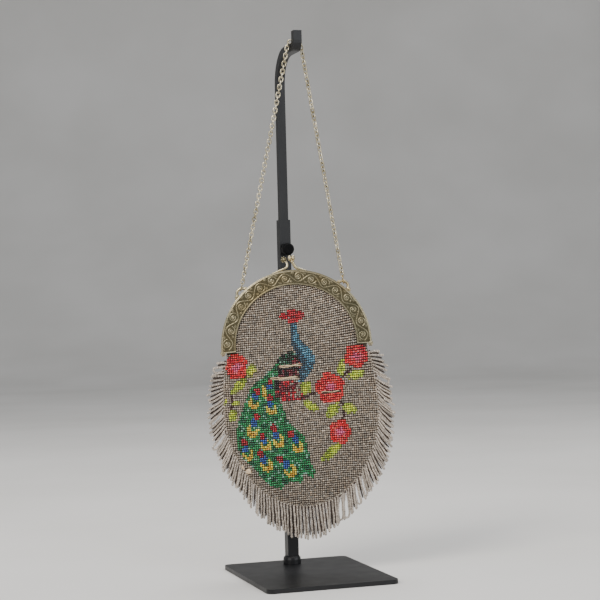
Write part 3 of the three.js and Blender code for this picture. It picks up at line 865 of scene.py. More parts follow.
def bead_tones(names):
    """Each bead's colour, with the small differences of old glass, and painted highlights: part of the
    random lightness, and glint beads.
    """
    base = np.array([linear(*TONES[name]) for name in names])
    # Random lightness per bead, partly the glass and partly a painted highlight.
    light = rng.normal(1.0, LIGHT_SPREAD, len(names)).clip(0.45, 1.8)
    warmth = rng.normal(0.0, 0.035, len(names))
    base = base * light[:, None] * np.stack([1 + warmth, np.ones_like(warmth), 1 - warmth], axis=1)
    # A share of the green beads gets the glint tone, a painted highlight.
    green = np.isin(names, ["tail", "tail_dark"])
    painted_glints = green & (rng.random(len(names)) < PAINTED_GLINT_SHARE)
    base[painted_glints] = np.array(linear(*TONES["glint"])) * rng.uniform(0.4, 1.0, (painted_glints.sum(), 1))
    # A share of the plain beads is made lighter, a painted highlight.
    pale = (names == "ground") & (rng.random(len(names)) < PALE_GLINT_SHARE)
    base[pale] *= 1.5
    return base.clip(0, BRIGHTEST)


def ground_tone_slope(x, z):
    """The plain beads are lighter at the upper right and darker at the bottom."""
    light = UPPER_LIGHT * smoothstep(z, -20, 40) * smoothstep(x, -20, 30)
    return 1 + light - LOWER_DARK * smoothstep(-z, 60, 140)


def barrel():
    """A barrel-shaped bead with its hole along x, one unit long and one unit in radius."""
    rings = [(-0.5, 0.58), (-0.26, 0.93), (0.26, 0.93), (0.5, 0.58)]
    angle = (np.arange(BEAD_SIDES) + 0.5) * 2 * math.pi / BEAD_SIDES
    points = [
        (along, radius * math.cos(a), radius * math.sin(a)) for along, radius in rings for a in angle
    ]
    return np.array(points), inside_out(shell_faces(len(rings), BEAD_SIDES))


def bead_object(name, material, centres, directions, facing, lengths, radii, tones):
    """One object of many beads at the centres, each with its hole along its direction."""
    shape, faces = barrel()
    along = unit(directions)
    out = unit(facing - along * np.sum(facing * along, axis=1, keepdims=True))
    up = np.cross(along, out)
    points = (
        centres[:, None, :]
        + shape[None, :, 0, None] * lengths[:, None, None] * along[:, None, :]
        + shape[None, :, 1, None] * radii[:, None, None] * out[:, None, :]
        + shape[None, :, 2, None] * radii[:, None, None] * up[:, None, :]
    )
    starts = np.arange(len(centres)) * len(shape)
    all_faces = [
        (part[None, :, :] + starts[:, None, None]).reshape(-1, part.shape[1]) for part in faces
    ]
    colours = np.repeat(tones, len(shape), axis=0)
    points = purse_to_world(points.reshape(-1, 3))
    return make_object(name, points, all_faces, material, colours=colours)


def bead_grid():
    """Places of the knitted beads on one side of the pouch: x, z and row number."""
    columns = np.arange(-46, 47)
    rows = np.arange(-92, 50)
    u, v = np.meshgrid(columns * COLUMN_PITCH, rows * ROW_PITCH, indexing="ij")
    number = np.broadcast_to(rows[None, :], u.shape)
    x = u + 0.5 * np.sin(v / 19) + 0.25 * np.sin(v / 7 + u / 31)
    rise = 0.15 * np.logaddexp(0, (u - 6) / 8) * 8 * smoothstep(v, -45, 35)
    z = v + rise + 0.7 * np.sin(u / 26 + 0.6) + 0.3 * np.sin(u / 9 + v / 14)
    x = x + rng.normal(0, 0.07, x.shape)
    z = z + rng.normal(0, 0.07, z.shape)
    return x.ravel(), z.ravel(), number.ravel()


def side_beads(side, damaged):
    """Centres, directions, outward ways and tone names of one side's beads."""
    x, z, row = bead_grid()
    share, _, _ = edge_share(x, z)
    radius = np.hypot(x, z)
    under_band = (radius > FRAME_RADIUS - BAND_WIDTH + 0.5) & (z > -BAND_FOOT)
    keep = (share < LAST_BEAD) & ~under_band
    picture_x = x * -side
    if damaged:
        keep &= ~slit_mask(x, z)
    x, z, row, picture_x = x[keep], z[keep], row[keep], picture_x[keep]
    step = 0.3
    half = half_thickness(x, z)
    slope_x = (half_thickness(x + step, z) - half_thickness(x - step, z)) / (2 * step)
    slope_z = (half_thickness(x, z + step) - half_thickness(x, z - step)) / (2 * step)
    slope_x, slope_z = slope_x.clip(-STEEPEST, STEEPEST), slope_z.clip(-STEEPEST, STEEPEST)
    lean = np.where(row % 2 == 0, *ROW_LEANS) + rng.normal(0, LEAN_SPREAD, len(x))
    cos, sin = np.cos(np.radians(lean)), np.sin(np.radians(lean))
    centres = np.stack([x, side * (half - BEAD_SINK), z], axis=1)
    out = unit(np.stack([-slope_x, np.full_like(x, side), -slope_z], axis=1))
    along = np.stack([cos, side * (slope_x * cos + slope_z * sin), sin], axis=1)
    return centres, along, out, picture(picture_x, z)


def knitted_beads(name, centres, along, out, names):
    """One object of knitted beads. The plain ones are made lighter at the upper right and darker at the
    bottom.
    """
    count = len(centres)
    lengths = BEAD_LENGTH * rng.normal(1, 0.04, count).clip(0.85, 1.12)
    radii = BEAD_HEIGHT / 2 * rng.normal(1, 0.04, count).clip(0.88, 1.1)
    tone_slope = np.where(names == "ground", ground_tone_slope(centres[:, 0], centres[:, 2]), 1)
    tones = bead_tones(names) * tone_slope[:, None]
    piece = bead_object(name, BEAD_MATERIAL, centres, along, out, lengths, radii, tones)


def beadwork():
    """The knitted beads of both sides, each in three pieces."""
    for side, word in ((-1, "front"), (1, "back")):
        centres, along, out, names = side_beads(side, damaged=side < 0)
        plain = names == "ground"
        high = centres[:, 2] > PIECE_LINE
        for part, where in (
            ("picture", ~plain),
            ("ground_upper", plain & high),
            ("ground_lower", plain & ~high),
        ):
            chosen = [values[where] for values in (centres, along, out, names)]
            knitted_beads(f"beads_{word}_{part}", *chosen)


def seam_beads():
    """One row of beads over the sewn edge, darkened as painted shade, with a few near-white ones as painted
    highlights.
    """
    count = int(EDGE_LENGTHS[-1] / SEAM_PITCH)
    place = (np.arange(count) + 0.5) / count
    centres, along = at_share(EDGE, place), at_share(EDGE_WAYS, place)
    tones = bead_tones(np.full(count, "ground")) * SEAM_PAINTED_SHADE
    for spot in SEAM_PAINTED_HIGHLIGHTS:
        nearest = np.argmin(np.hypot(centres[:, 0] - spot[0], centres[:, 1] - spot[1]))
        tones[nearest] = linear(*SEAM_HIGHLIGHT_TONE)
    way = with_depth(along, rng.normal(0, 0.2, count))
    facing = with_depth(quarter_turned(along))
    middle = with_depth(centres) - SEAM_SINK * facing
    lengths, radii = np.full(count, BEAD_LENGTH), np.full(count, SEAM_RADIUS)
    piece = bead_object("seam_beads", BEAD_MATERIAL, middle, way, facing, lengths, radii, tones)


def torn_places():
    """Cream thread and lining where beads are gone. A wide slit has two strands."""
    forms = []
    count = 26
    share = np.linspace(0, 1, count)
    for start, end, half in SLITS:
        wide = half > 1
        for strand in range(2 if wide else 1):
            x = start[0] + (end[0] - start[0]) * share
            lift = (0.55 - 1.1 * strand) * half * 0.62 if wide else 0
            z = start[1] + (end[1] - start[1]) * share + lift
            z = z + 0.36 * np.sin(share * 9 + strand * 2) + rng.normal(0, 0.16, count)
            depth = half_thickness(x, z) - 0.35
            radius = (0.44 if wide else 0.4) * (0.5 + 0.5 * np.sin(share * math.pi) ** 0.4)
            radius = radius * rng.normal(1, 0.2, count).clip(0.6, 1.4)
            forms.append(tube(np.stack([x, -depth, z], axis=1), radius, sides=8))
    forms += [lining_patch(middle, size) for middle, size in BARE_SPOTS]
    points, faces = join_forms(forms)
    piece = make_object("torn_lining", purse_to_world(points), faces, torn_cloth())


def lining_patch(middle, size):
    """A small puffed patch of lining, closed behind."""
    rings, around = 9, 26
    angle = full_turn(around)
    ragged = 1 + 0.12 * np.sin(3 * angle + middle[0]) + 0.08 * np.sin(7 * angle)
    points = []
    for side in (-1, 1):
        shares = np.linspace(0.08, 1, rings)
        for share in shares if side < 0 else shares[-2::-1]:
            x = middle[0] + share * size * ragged * np.cos(angle)
            z = middle[1] + share * size * BARE_FLATNESS * ragged * np.sin(angle)
            puff = math.sqrt(max(0.0, 1 - share**2))
            crease = 0.18 * np.sin(4 * angle + 5 * share) * puff
            y = -(half_thickness(x, z) - 0.75) + side * (0.75 * puff + crease * (side < 0))
            points.append(np.stack([x, y, z], axis=1))
    return np.concatenate(points), inside_out(shell_faces(2 * rings - 1, around))


# Fringe
def sewn_edge():
    """The sewn edge from the left hinge round the bottom, its directions and lengths."""
    after = np.concatenate([OUTLINE, OUTLINE[:1]])
    edge = after[after[:, 1] < -SIDE_TOP - 0.6]
    tangent = unit(np.gradient(edge, axis=0))
    return edge, tangent, path_lengths(edge)


EDGE, EDGE_WAYS, EDGE_LENGTHS = sewn_edge()


def at_share(values, share):
    """Values of the sewn edge at shares of its length."""
    return on_path(values, EDGE_LENGTHS, share * EDGE_LENGTHS[-1])


FRINGE = [
    # place along the edge, lean in degrees from straight down, length
    (0.0, -94, 9.6), (0.012, -88, 11.0), (0.032, -88, 11.4), (0.055, -80, 13.2), (0.08, -68, 15.0),
    (0.11, -60, 16.6), (0.14, -49, 18.0), (0.185, -37, 18.6), (0.2, -32, 19.2), (0.235, -25, 19.8),
    (0.26, -18, 19.8), (0.3, -12, 19.8), (0.35, -6, 23.6), (0.4, 0, 26.6), (0.48, -1, 29.4), (0.52, 3, 28.8),
    (0.56, 1, 26.6), (0.58, 0, 25.0), (0.61, 1, 25.4), (0.65, 8, 22.6), (0.69, 15, 21.2),
    (0.735, 25, 20.4), (0.78, 30, 20.6), (0.81, 37, 19.8), (0.85, 43, 18.6), (0.9, 50, 17.4),
    (0.935, 55, 16.2), (0.955, 62, 15.0), (0.976, 74, 13.4), (0.99, 86, 11.8), (1.0, 98, 9.8),
]
# How far each loop's root and end lean apart, by place along the edge, and how early they part
CURL = ((0, 0.03, 0.1, 0.3, 0.6, 0.8, 0.93, 0.97, 1), (-9, 0, 6, 1, 0, -9, -8, 5, 14))
CURL_POWER = 0.8
LOOP_PITCH = 3.05
LOOP_SINK = 0.6
ROOT_WIDTH = 0.8
FRINGE_BEAD = 1.42
FRINGE_RADIUS = 1.06
FRINGE_TONE = (186, 175, 162)
HEADING_RADIUS = 1.05
HEADING_OUT = 0.25
OPEN_LOOPS = {
    # loop number from the left hinge: half its open width
    2: 2.5, 15: 2.4, 21: 1.9, 68: 2.2, 70: 2.3, 74: 1.7, 77: 1.5, 108: 2.1,
}
STRAY_LOOP = ((76.4, -55.0), (86.0, -61.6))


def loop_path(root, start_lean, end_lean, length, twist, half_width, sway):
    """Dense points along one hanging loop, from its root and back."""
    steps = 60
    share = np.linspace(0, 1, steps)
    lean = np.radians(start_lean + (end_lean - start_lean) * share**CURL_POWER)
    way = np.stack([np.sin(lean), -np.cos(lean)], axis=1)
    step = length / (steps - 1)
    middle = root + np.concatenate([[[0, 0]], np.cumsum(way[:-1] * step, axis=0)])
    across = quarter_turned(way)
    turn = np.radians(twist[0] + (twist[1] - twist[0]) * share)
    width = ROOT_WIDTH + (half_width - ROOT_WIDTH) * smoothstep(share, 0.0, 0.55)
    near_end = np.clip((share * length - (length - half_width)) / half_width, 0, 1)
    width = width * np.sqrt(np.maximum(0, 1 - near_end**2))
    bulge = sway * np.sin(share * math.pi * 0.9)
    wiggle = 0.2 * np.sin(share * length / 12 * 2 * math.pi + 9 * sway) * smoothstep(share, 0, 0.3)
    middle = middle + across * wiggle[:, None]
    strands = []
    for offset in (-width, width):
        flat = middle + across * (offset * np.cos(turn))[:, None]
        strands.append(with_depth(flat, offset * np.sin(turn) + bulge))
    return np.concatenate([strands[0], strands[1][-2::-1]])


def spaced(path, pitch):
    """Points at equal steps along a path, and the path's direction at each."""
    lengths = path_lengths(path)
    count = max(3, int(lengths[-1] / pitch))
    places = (np.arange(count) + 0.5) * lengths[-1] / count
    before, after = on_path(path, lengths, places - 0.4), on_path(path, lengths, places + 0.4)
    return on_path(path, lengths, places), unit(after - before)


def fringe_heading():
    """The dark thread that the loops are sewn to, along the pouch's edge, thick enough to stand also for
    painted shade along the seam.
    """
    share = np.linspace(0, 1, 620)
    middle = at_share(EDGE, share) + HEADING_OUT * quarter_turned(at_share(EDGE_WAYS, share))
    knots = 1 + 0.14 * np.sin(share * EDGE_LENGTHS[-1] / LOOP_PITCH * 2 * math.pi)
    points, faces = tube(with_depth(middle), HEADING_RADIUS * knots, sides=10)
    piece = make_object("fringe_heading", purse_to_world(points), faces, THREAD_MATERIAL)


def fringe_plan():
    """Root, lean, length and curl of every loop along the edge, the root a little inside it."""
    count = int(round(EDGE_LENGTHS[-1] / LOOP_PITCH))
    share = (np.arange(count) + 0.5) / count
    place, lean, length = np.array(FRINGE).T
    disorder = 1.1 + 2.0 * np.minimum(1, np.abs(share - 0.5) * 3)
    return {
        "root": at_share(EDGE, share) - LOOP_SINK * quarter_turned(at_share(EDGE_WAYS, share)),
        "lean": np.interp(share, place, lean) + rng.normal(0, 1, count) * disorder,
        "length": np.interp(share, place, length) + rng.normal(0, 0.9, count),
        "curl": np.interp(share, *CURL),
    }


def gap_shade_strands(plan):
    """Invented dark strands, thicker than real thread, in the gaps between the loops: painted shade, a dark
    fill where there is only shade between them.
    """
    forms = []
    steps = 16
    share = np.linspace(0, 1, steps)
    radius = 0.6 + 0.32 * share - 0.4 * smoothstep(share, 0.86, 1.0)
    roots, leans, _, curls = [(values[1:] + values[:-1]) / 2 for values in plan.values()]
    for number, (root, lean, curl) in enumerate(zip(roots, leans, curls)):
        if number in OPEN_LOOPS or number + 1 in OPEN_LOOPS:
            continue
        turn = np.radians(lean + curl - 2 * curl * share**CURL_POWER)
        length = 0.9 * min(plan["length"][number : number + 2])
        way = np.stack([np.sin(turn), -np.cos(turn)], axis=1)
        path = root + np.concatenate([[[0, 0]], np.cumsum(way[:-1] * length / (steps - 1), axis=0)])
        forms.append(tube(with_depth(path), radius, sides=6))
    points, faces = join_forms(forms)
    piece = make_object("fringe_gap_shade", purse_to_world(points), faces, THREAD_MATERIAL)


def fringe_loops(plan):
    """Loops of small strung beads along the sewn edge."""
    centres, ways, tones = [], [], []
    grey = np.array(linear(*FRINGE_TONE))
    for number, (root, lean, length, curl) in enumerate(zip(*plan.values())):
        if number in OPEN_LOOPS:
            half, twist = OPEN_LOOPS[number], (10, -15)
        else:
            half = rng.uniform(1.0, 1.2)
            first = rng.uniform(66, 92)
            twist = (first, first + rng.uniform(-8, 34))
        sway = rng.normal(0, 0.4)
        path = loop_path(root, lean + curl, lean - curl, length, twist, half, sway)
        spots, way = spaced(path, FRINGE_BEAD)
        centres.append(spots)
        ways.append(way)
        light = rng.normal(1.0, 0.1) * rng.normal(1.0, 0.14, len(spots)).clip(0.6, 1.4)
        tones.append(grey * light[:, None])
    start, end = (np.array([point[0], -1.6, point[1]]) for point in STRAY_LOOP)
    spots, way = spaced(np.linspace(start, end, 12), FRINGE_BEAD)
    centres.append(spots)
    ways.append(way)
    tones.append(np.repeat(grey[None, :] * 1.15, len(spots), axis=0))
    centres, ways, tones = [np.concatenate(rows) for rows in (centres, ways, tones)]
    tones = tones.clip(0, BRIGHTEST)
    facing = np.broadcast_to(np.array([0.12, -1.0, 0.1]), ways.shape)
    lengths = np.full(len(centres), FRINGE_BEAD * 0.96)
    radii = FRINGE_RADIUS * rng.normal(1, 0.04, len(centres)).clip(0.9, 1.1)
    piece = bead_object("fringe_loops", FRINGE_MATERIAL, centres, ways, facing, lengths, radii, tones)
    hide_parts("fringe")


# Metal frame
BAND_MIDDLE = FRAME_RADIUS - BAND_WIDTH / 2
HALF_WAVES = 16
VINE_MARGIN = math.radians(1.7)
VINE_SWING = 3.8
RELIEF_HEIGHT = 0.72
STUDS = 7
FLOWER_LEAVES = ((-1.0, 3.9), (1.0, -3.9))
LEAF_TILT = 0.25
BUDS = ((-3.3, 3.2), (3.3, 3.2), (0.0, 4.4), (-3.6, -1.6), (3.6, -1.6))
END_RIM = math.radians(1.1)


def ridge(distance, half_width):
    """A rounded ridge by distance from its middle line."""
    return np.sqrt(np.maximum(0, 1 - (distance / half_width) ** 2))


def band_relief(angle, radius):
    """Height of the chased band over its plain face, from 0 to about 1."""
    span = math.pi + 2 * ARCH_END - 2 * VINE_MARGIN
    across = radius - BAND_MIDDLE
    pitch = span * BAND_MIDDLE / HALF_WAVES
    wave = (angle + ARCH_END - VINE_MARGIN) / span * HALF_WAVES
    inside = smoothstep(wave, -0.1, 0.1) * smoothstep(HALF_WAVES - wave, -0.1, 0.1)
    vine = VINE_SWING * np.sin(wave * math.pi)
    slope = VINE_SWING * math.pi / pitch * np.cos(wave * math.pi)
    away = (across - vine) / np.sqrt(1 + slope**2)
    height = 0.62 * ridge(away, 0.46)
    number = np.clip(np.floor(wave), 0, HALF_WAVES - 1)
    vine_side = np.where(number % 2 == 0, 1.0, -1.0)
    along = (wave - number - 0.5) * pitch
    opposite = -vine_side * across - 0.7
    far = np.hypot(along, opposite)
    turn = np.mod(np.arctan2(opposite, -along), 2 * math.pi)
    for lap in (0, 1):
        winding = turn + 2 * math.pi * lap
        scroll = 4.5 * np.exp(-0.155 * winding)
        coil = ridge(far - scroll, 0.46 - 0.014 * winding) * (winding < 3.6 * math.pi)
        height = np.maximum(height, 0.68 * coil)
    petal_turn = (np.mod(turn * STUDS / (2 * math.pi), 1) - 0.5) * 2 * math.pi / STUDS
    studs = ridge(np.hypot(far - 1.7, far * petal_turn), 0.5)
    height = np.maximum(height, 0.6 * studs)
    petals = 0.84 + 0.16 * np.cos(6 * turn)
    flower = 0.8 * ridge(far, petals) - 0.22 * np.exp(-(((far - 0.52) / 0.16) ** 2))
    height = np.maximum(height, flower)
    beside = (wave - np.round(wave)) * pitch
    crossing = np.where(np.round(wave) % 2 == 0, 1.0, -1.0)
    cos, sin = math.cos(LEAF_TILT), math.sin(LEAF_TILT)
    for place, level in FLOWER_LEAVES:
        u, v = beside - place, crossing * across - level
        forward, sideways = u * cos - v * sin, u * sin + v * cos
        body = ridge(np.hypot(forward / 2.3, sideways / 1.15), 1.0)
        veins = 0.72 + 0.28 * np.abs(np.sin(forward * 2.4 + np.abs(sideways) * 2))
        height = np.maximum(height, 0.6 * body * veins)
    for place, level in BUDS:
        bud = ridge(np.hypot(along - place, opposite + 0.7 - level), 0.62)
        height = np.maximum(height, 0.46 * bud)
    height = height * inside
    outer = smoothstep(across, 5.0, 5.3) * (1 - 0.45 * smoothstep(across, 6.1, 6.8))
    groove = 0.5 * np.exp(-(((across - 5.95) / 0.16) ** 2))
    inner = smoothstep(-across, 5.4, 5.7) * (1 - 0.4 * smoothstep(-across, 6.3, 6.8))
    past_end = np.abs(angle - math.pi / 2) - (math.pi / 2 + ARCH_END)
    ends = smoothstep(past_end, -END_RIM, -0.8 * END_RIM)
    rims = 0.78 * np.maximum.reduce([outer - groove, 0.72 * inner, ends])
    dots = np.maximum(0, np.sin(angle * BAND_MIDDLE * 5.0) * np.sin(across * 5.2))
    ground = 0.1 + 0.24 * dots
    return np.maximum.reduce([height * (np.abs(across) < 5.4), rims, ground])


def band_section(angle):
    """Closed sections of one frame half, as radius, depth towards the front, and relief."""
    inner = FRAME_RADIUS - BAND_WIDTH
    grid_angle, grid_radius = np.meshgrid(
        angle, np.linspace(FRAME_RADIUS - 0.12, inner + 0.12, 38), indexing="ij"
    )
    relief = band_relief(grid_angle, grid_radius)
    ones = np.ones((len(angle), 1))
    seam = 0.15
    back = HALF_DEPTH - FRAME_METAL
    wall = FRAME_RADIUS - FRAME_METAL
    # radius, depth, relief
    before = [
        (FRAME_RADIUS - 0.15, seam, 0.55), (FRAME_RADIUS, seam + 0.25, 0.75),
        (FRAME_RADIUS, HALF_DEPTH - 0.5, 0.7),
    ]
    after = [
        (inner, HALF_DEPTH - 0.1, 0.4), (inner, back + 0.2, 0.2), (inner + 0.2, back, 0.2),
        (wall - 0.3, back, 0.2), (wall, back - 0.3, 0.2), (wall, seam, 0.2),
    ]
    chased = (grid_radius, HALF_DEPTH + RELIEF_HEIGHT * relief, relief)
    return [
        np.concatenate([ones * first, middle, ones * last], axis=1)
        for first, middle, last in zip(zip(*before), chased, zip(*after))
    ]


def arch_half():
    """One half's chased arch, its front towards -y."""
    steps = 760
    angle = np.linspace(-ARCH_END, math.pi + ARCH_END, steps)
    radius, depth, relief = band_section(angle)
    x = radius * np.cos(angle)[:, None]
    z = radius * np.sin(angle)[:, None]
    points = np.stack([x, -depth, z], axis=-1).reshape(-1, 3)
    return (points, shell_faces(steps, x.shape[1])), relief.ravel()


def ear(side, from_x, thickness):
    """A round ear with its pin hole, at the end of the arch."""
    hole, edge = EAR_HOLE, CUT_EDGE
    profile = np.array([
        (hole, edge), (hole + edge, 0), (EAR_RADIUS - edge, 0), (EAR_RADIUS, edge),
        (EAR_RADIUS, thickness - edge), (EAR_RADIUS - edge, thickness), (hole + edge, thickness),
        (hole, thickness - edge),
    ])
    steps = 32
    angle = full_turn(steps)
    x = side * (from_x + np.broadcast_to(profile[:, 1, None], (len(profile), steps)))
    y = profile[:, 0, None] * np.cos(angle)
    z = -PIN_DROP + profile[:, 0, None] * np.sin(angle)
    points = np.stack([x, y, z], axis=-1).reshape(-1, 3)
    faces = grid_faces(len(profile), steps, close_rows=True, close_columns=True)
    return points, [faces[:, ::-1] if side > 0 else faces]


def rounded_block(corner, opposite):
    """A box with cut edges between two corners."""
    low, high = np.minimum(corner, opposite), np.maximum(corner, opposite)
    edge = CUT_EDGE
    rings = []
    for y, inset in ((low[1], edge), (low[1] + edge, 0), (high[1] - edge, 0), (high[1], edge)):
        x0, x1, z0, z1 = low[0] + inset, high[0] - inset, low[2] + inset, high[2] - inset
        rings.append([
            (x0 + edge, y, z0), (x1 - edge, y, z0), (x1, y, z0 + edge), (x1, y, z1 - edge),
            (x1 - edge, y, z1), (x0 + edge, y, z1), (x0, y, z1 - edge), (x0, y, z0 + edge),
        ])
    return np.array(rings).reshape(-1, 3), shell_faces(4, 8)


ARM_ROOT = 0.62
COLLAR_PLACE = 0.83
COLLAR_HEIGHT = 0.85
KNOB_RADIUS = 2.85
LEFT_ARM = [
    # along the clasp's span, above the rim, depth in the half
    (-0.98, 0.0, 0.5), (-0.68, 0.06, 0.5), (-0.38, 0.13, 0.5), (-0.17, 0.23, 0.45),
    (-0.1, 0.45, 0.35), (-0.14, 0.7, 0.25), (-0.29, 0.93, 0.15),
]
RIGHT_ARM = [
    (0.98, 0.0, 0.5), (0.72, 0.05, 0.5), (0.5, 0.12, 0.5), (0.36, 0.27, 0.45),
    (0.27, 0.5, 0.35), (0.2, 0.76, 0.25), (0.16, 1.0, 0.15),
]


def arm_points(rows, side):
    """The middle line of a clasp arm, on the half at this side."""
    points = []
    for along, above, depth in rows:
        x = CLASP_PLACE + along * CLASP_SPAN
        rim = math.sqrt(FRAME_RADIUS**2 - x**2)
        points.append((x, side * depth * HALF_DEPTH, rim + above * CLASP_RISE))
    return np.array(points)


def clasp_arm(rows, side, thickness):
    """A clasp arm that thickens from its root. The thick one has a collar."""
    path = curve_points(arm_points(rows, side), 9)
    share = np.linspace(0, 1, len(path))
    radius = ARM_ROOT + (thickness / 2 - ARM_ROOT) * smoothstep(share, 0.0, 0.4)
    collar = COLLAR_HEIGHT * np.exp(-(((share - COLLAR_PLACE) / 0.03) ** 4)) * (thickness > 2.5)
    return tube(path, radius + collar, sides=16)


def turned(form, matrix, place):
    """A form turned by a 3x3 matrix and moved."""
    points, faces = form
    return points @ np.array(matrix).T + np.array(place), faces


def clasp_ball(rows, side):
    """A round knob with a raised flower of studs."""
    place = arm_points(rows, side)[-1]
    polar = np.linspace(0.04, math.pi - 0.04, 26)
    profile = [(KNOB_RADIUS * math.sin(a), -KNOB_RADIUS * math.cos(a)) for a in polar]

    def studs(row, angle):
        level = np.sin(row / 25 * math.pi * 4) ** 2
        return 0.24 * level * np.cos(3 * angle) ** 2 - 0.1

    tip = np.array([[0.2, -0.1, 0.97], [0.97, 0.14, -0.2], [-0.1, 0.98, 0.12]])
    return turned(lathe(profile, 48, ridge=studs), unit(tip), place)


def clasp_barrel(rows, side):
    """A barrel that lies across the end of its arm."""
    place = arm_points(rows, side)[-1]
    profile = [
        (0.05, -3.3), (0.9, -3.25), (1.7, -3.0), (2.2, -2.55), (2.45, -1.95), (2.45, -1.35),
        (2.2, -0.75), (1.7, -0.3), (1.5, 0), (1.75, 0.3), (2.3, 0.75), (2.6, 1.35), (2.6, 1.95),
        (2.3, 2.55), (1.8, 3.0), (0.9, 3.25), (0.05, 3.3),
    ]
    along_x = [[0, 0, 1], [0, 1, 0], [-1, 0, 0]]
    return turned(lathe(profile, 36), along_x, place)


LUG_THICK = 1.32
HINGE_BLOCK_DEPTHS = (1.38, 4.12)
HINGE_BLOCK_HEIGHTS = (-1.55, 3.27)
# The metal's tone value away from the chasing, and the relief that gives the palest tone, the painted
# highlight
PLAIN_TONE = 0.86
RELIEF_SCALE = 0.85
LUG_ARCH = [
    # along the rim towards the hinge, height over it
    (-0.8, 0.08), (-0.66, 0.2), (-0.46, 0.44), (-0.3, 0.82), (0, 1), (0.36, 0.96), (0.58, 0.66),
    (0.72, 0.34), (0.94, 0.3), (1.2, 0.06),
]


def lug(side):
    """A cast loop for the chain, with two leaf-shaped feet."""
    middle = math.pi / 2 - side * LUG_ANGLE
    points = []
    for along, above in LUG_ARCH:
        angle = middle - side * along * LUG_SPAN / 2 / FRAME_RADIUS
        radius = FRAME_RADIUS + above * LUG_HEIGHT
        points.append((radius * math.cos(angle), LUG_DEPTH, radius * math.sin(angle)))
    path = curve_points(points, 7)
    share = np.linspace(-1, 1, len(path))
    swell = LUG_THICK + 0.42 * np.exp(-(((share - 0.66) / 0.14) ** 2))
    swell = swell - 0.35 * smoothstep(np.abs(share), 0.8, 1.0)
    swell = swell + 0.3 * np.exp(-(((share + 0.74) / 0.12) ** 2))
    return tube(path, swell, sides=14, flat=1.25)


def hinge_forms(side):
    """One hinge's ears and the blocks that carry them, for the front half and the back half."""
    outer, inner = FRAME_RADIUS - FRAME_METAL, FRAME_RADIUS - 2 * FRAME_METAL - 0.3
    near, far = HINGE_BLOCK_DEPTHS
    low, high = HINGE_BLOCK_HEIGHTS
    front = [
        ear(side, outer, FRAME_METAL),
        rounded_block((side * outer, -far, low), (side * FRAME_RADIUS, -near, high)),
    ]
    back = [
        ear(side, inner, FRAME_METAL),
        rounded_block((side * inner, near, low), (side * (inner + FRAME_METAL), far, high)),
        rounded_block((side * inner, near, 1.35), (side * (FRAME_RADIUS - 0.6), far, 6.17)),
    ]
    return front, back


def frame_pieces():
    """Both halves of the frame, with their relief as a value for the metal's tone and its painted highlight
    and shade.
    """
    chased = aged_silver()
    (left_front, left_back), (right_front, right_back) = hinge_forms(-1), hinge_forms(1)
    front_extras = [clasp_arm(LEFT_ARM, -1, 2.2), clasp_ball(LEFT_ARM, -1), *left_front, *right_front]
    back_extras = [
        clasp_arm(RIGHT_ARM, 1, 2.9), clasp_barrel(RIGHT_ARM, 1), lug(-1), lug(1),
        *left_back, *right_back,
    ]
    (arch, faces), relief = arch_half()
    turned_back = arch * np.array([-1, -1, 1])
    for name, half, extras, node in (
        ("frame_front", arch, front_extras, "front_frame"),
        ("frame_back", turned_back, back_extras, "back_frame"),
    ):
        points, all_faces = join_forms([(half, faces), *extras])
        values = np.full(len(points), PLAIN_TONE)
        plain = np.arange(len(points)) >= len(relief)
        values[~plain] = relief / RELIEF_SCALE
        # Parts that stand above the rim get the palest tone, a painted highlight.
        values[plain & (np.hypot(points[:, 0], points[:, 2]) > FRAME_RADIUS + 0.3)] = 1.0
        # The knob's studs get the painted highlight, and the ground between them the painted shade.
        if node == "front_frame":
            reach = np.linalg.norm(points - arm_points(LEFT_ARM, -1)[-1], axis=1)
            knob = plain & (reach < 1.3 * KNOB_RADIUS)
            values[knob] = smoothstep(reach[knob], 0.88 * KNOB_RADIUS, 1.1 * KNOB_RADIUS)
        piece = make_object(name, purse_to_world(points), all_faces, chased, sharp=50, values=values)
        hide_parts(node)


# Chain
SMALL_LINK = {"length": 6.15, "width": 4.65, "wire": 1.24}
END_LINK = {"length": 8.6, "width": 5.6, "wire": 1.0}
CHAIN_TURN = 1.75
# From a lug's hole to the middle of the first small link
CHAIN_START = 8.9
# How far the links are twisted, in degrees, at shares of the chain from its left end
CHAIN_TWIST = ((0.0, 0.2, 0.45, 0.53, 0.7, 1.0), (30, 12, 2, 36, 46, 40))


def link_form(size, middle, along, flat, steps, sides):
    """A long link: along is its length's direction, flat the way it is seen open from."""
    radius = (size["width"] - size["wire"]) / 2
    straight = (size["length"] - size["width"]) / 2
    angle = full_turn(steps)
    u = radius * np.cos(angle)
    v = radius * np.sin(angle) + straight * np.clip(np.sin(angle) * 4, -1, 1)
    across = np.cross(flat, along)
    path = middle + u[:, None] * across + v[:, None] * along
    return ring_tube(path, size["wire"] / 2, sides, flat)


def strand_ends(side):
    """The lug's hole and the point where a strand meets the hook."""
    angle = math.pi / 2 - side * LUG_ANGLE
    radius = FRAME_RADIUS + LUG_HEIGHT / 2
    low = purse_to_world([radius * math.cos(angle), LUG_DEPTH, radius * math.sin(angle)])
    corner = np.array([HOOK[0] + side * HOOK_HALF, HOOK[1], HOOK[2]])
    way = corner - low
    way[1] = 0
    way = way / np.linalg.norm(way)
    aside = np.array([side * way[2], 0, -side * way[0]])
    return low, corner + aside * CHAIN_TURN, corner


def chain_path():
    """The middle line of the small links, from the left end link to the right one."""
    halves = []
    for side in (-1, 1):
        low, top, corner = strand_ends(side)
        way = (top - low) / np.linalg.norm(top - low)
        start = low + way * CHAIN_START
        points = [start + (top - start) * share for share in np.linspace(0, 1, 40)]
        first = math.atan2(top[2] - corner[2], top[0] - corner[0])
        for share in np.linspace(0, 1, 8)[1:]:
            angle = first + (math.pi / 2 - first) * share
            points.append(corner + CHAIN_TURN * np.array([math.cos(angle), 0, math.sin(angle)]))
        halves.append(points)
    return np.array(halves[0] + halves[1][::-1])


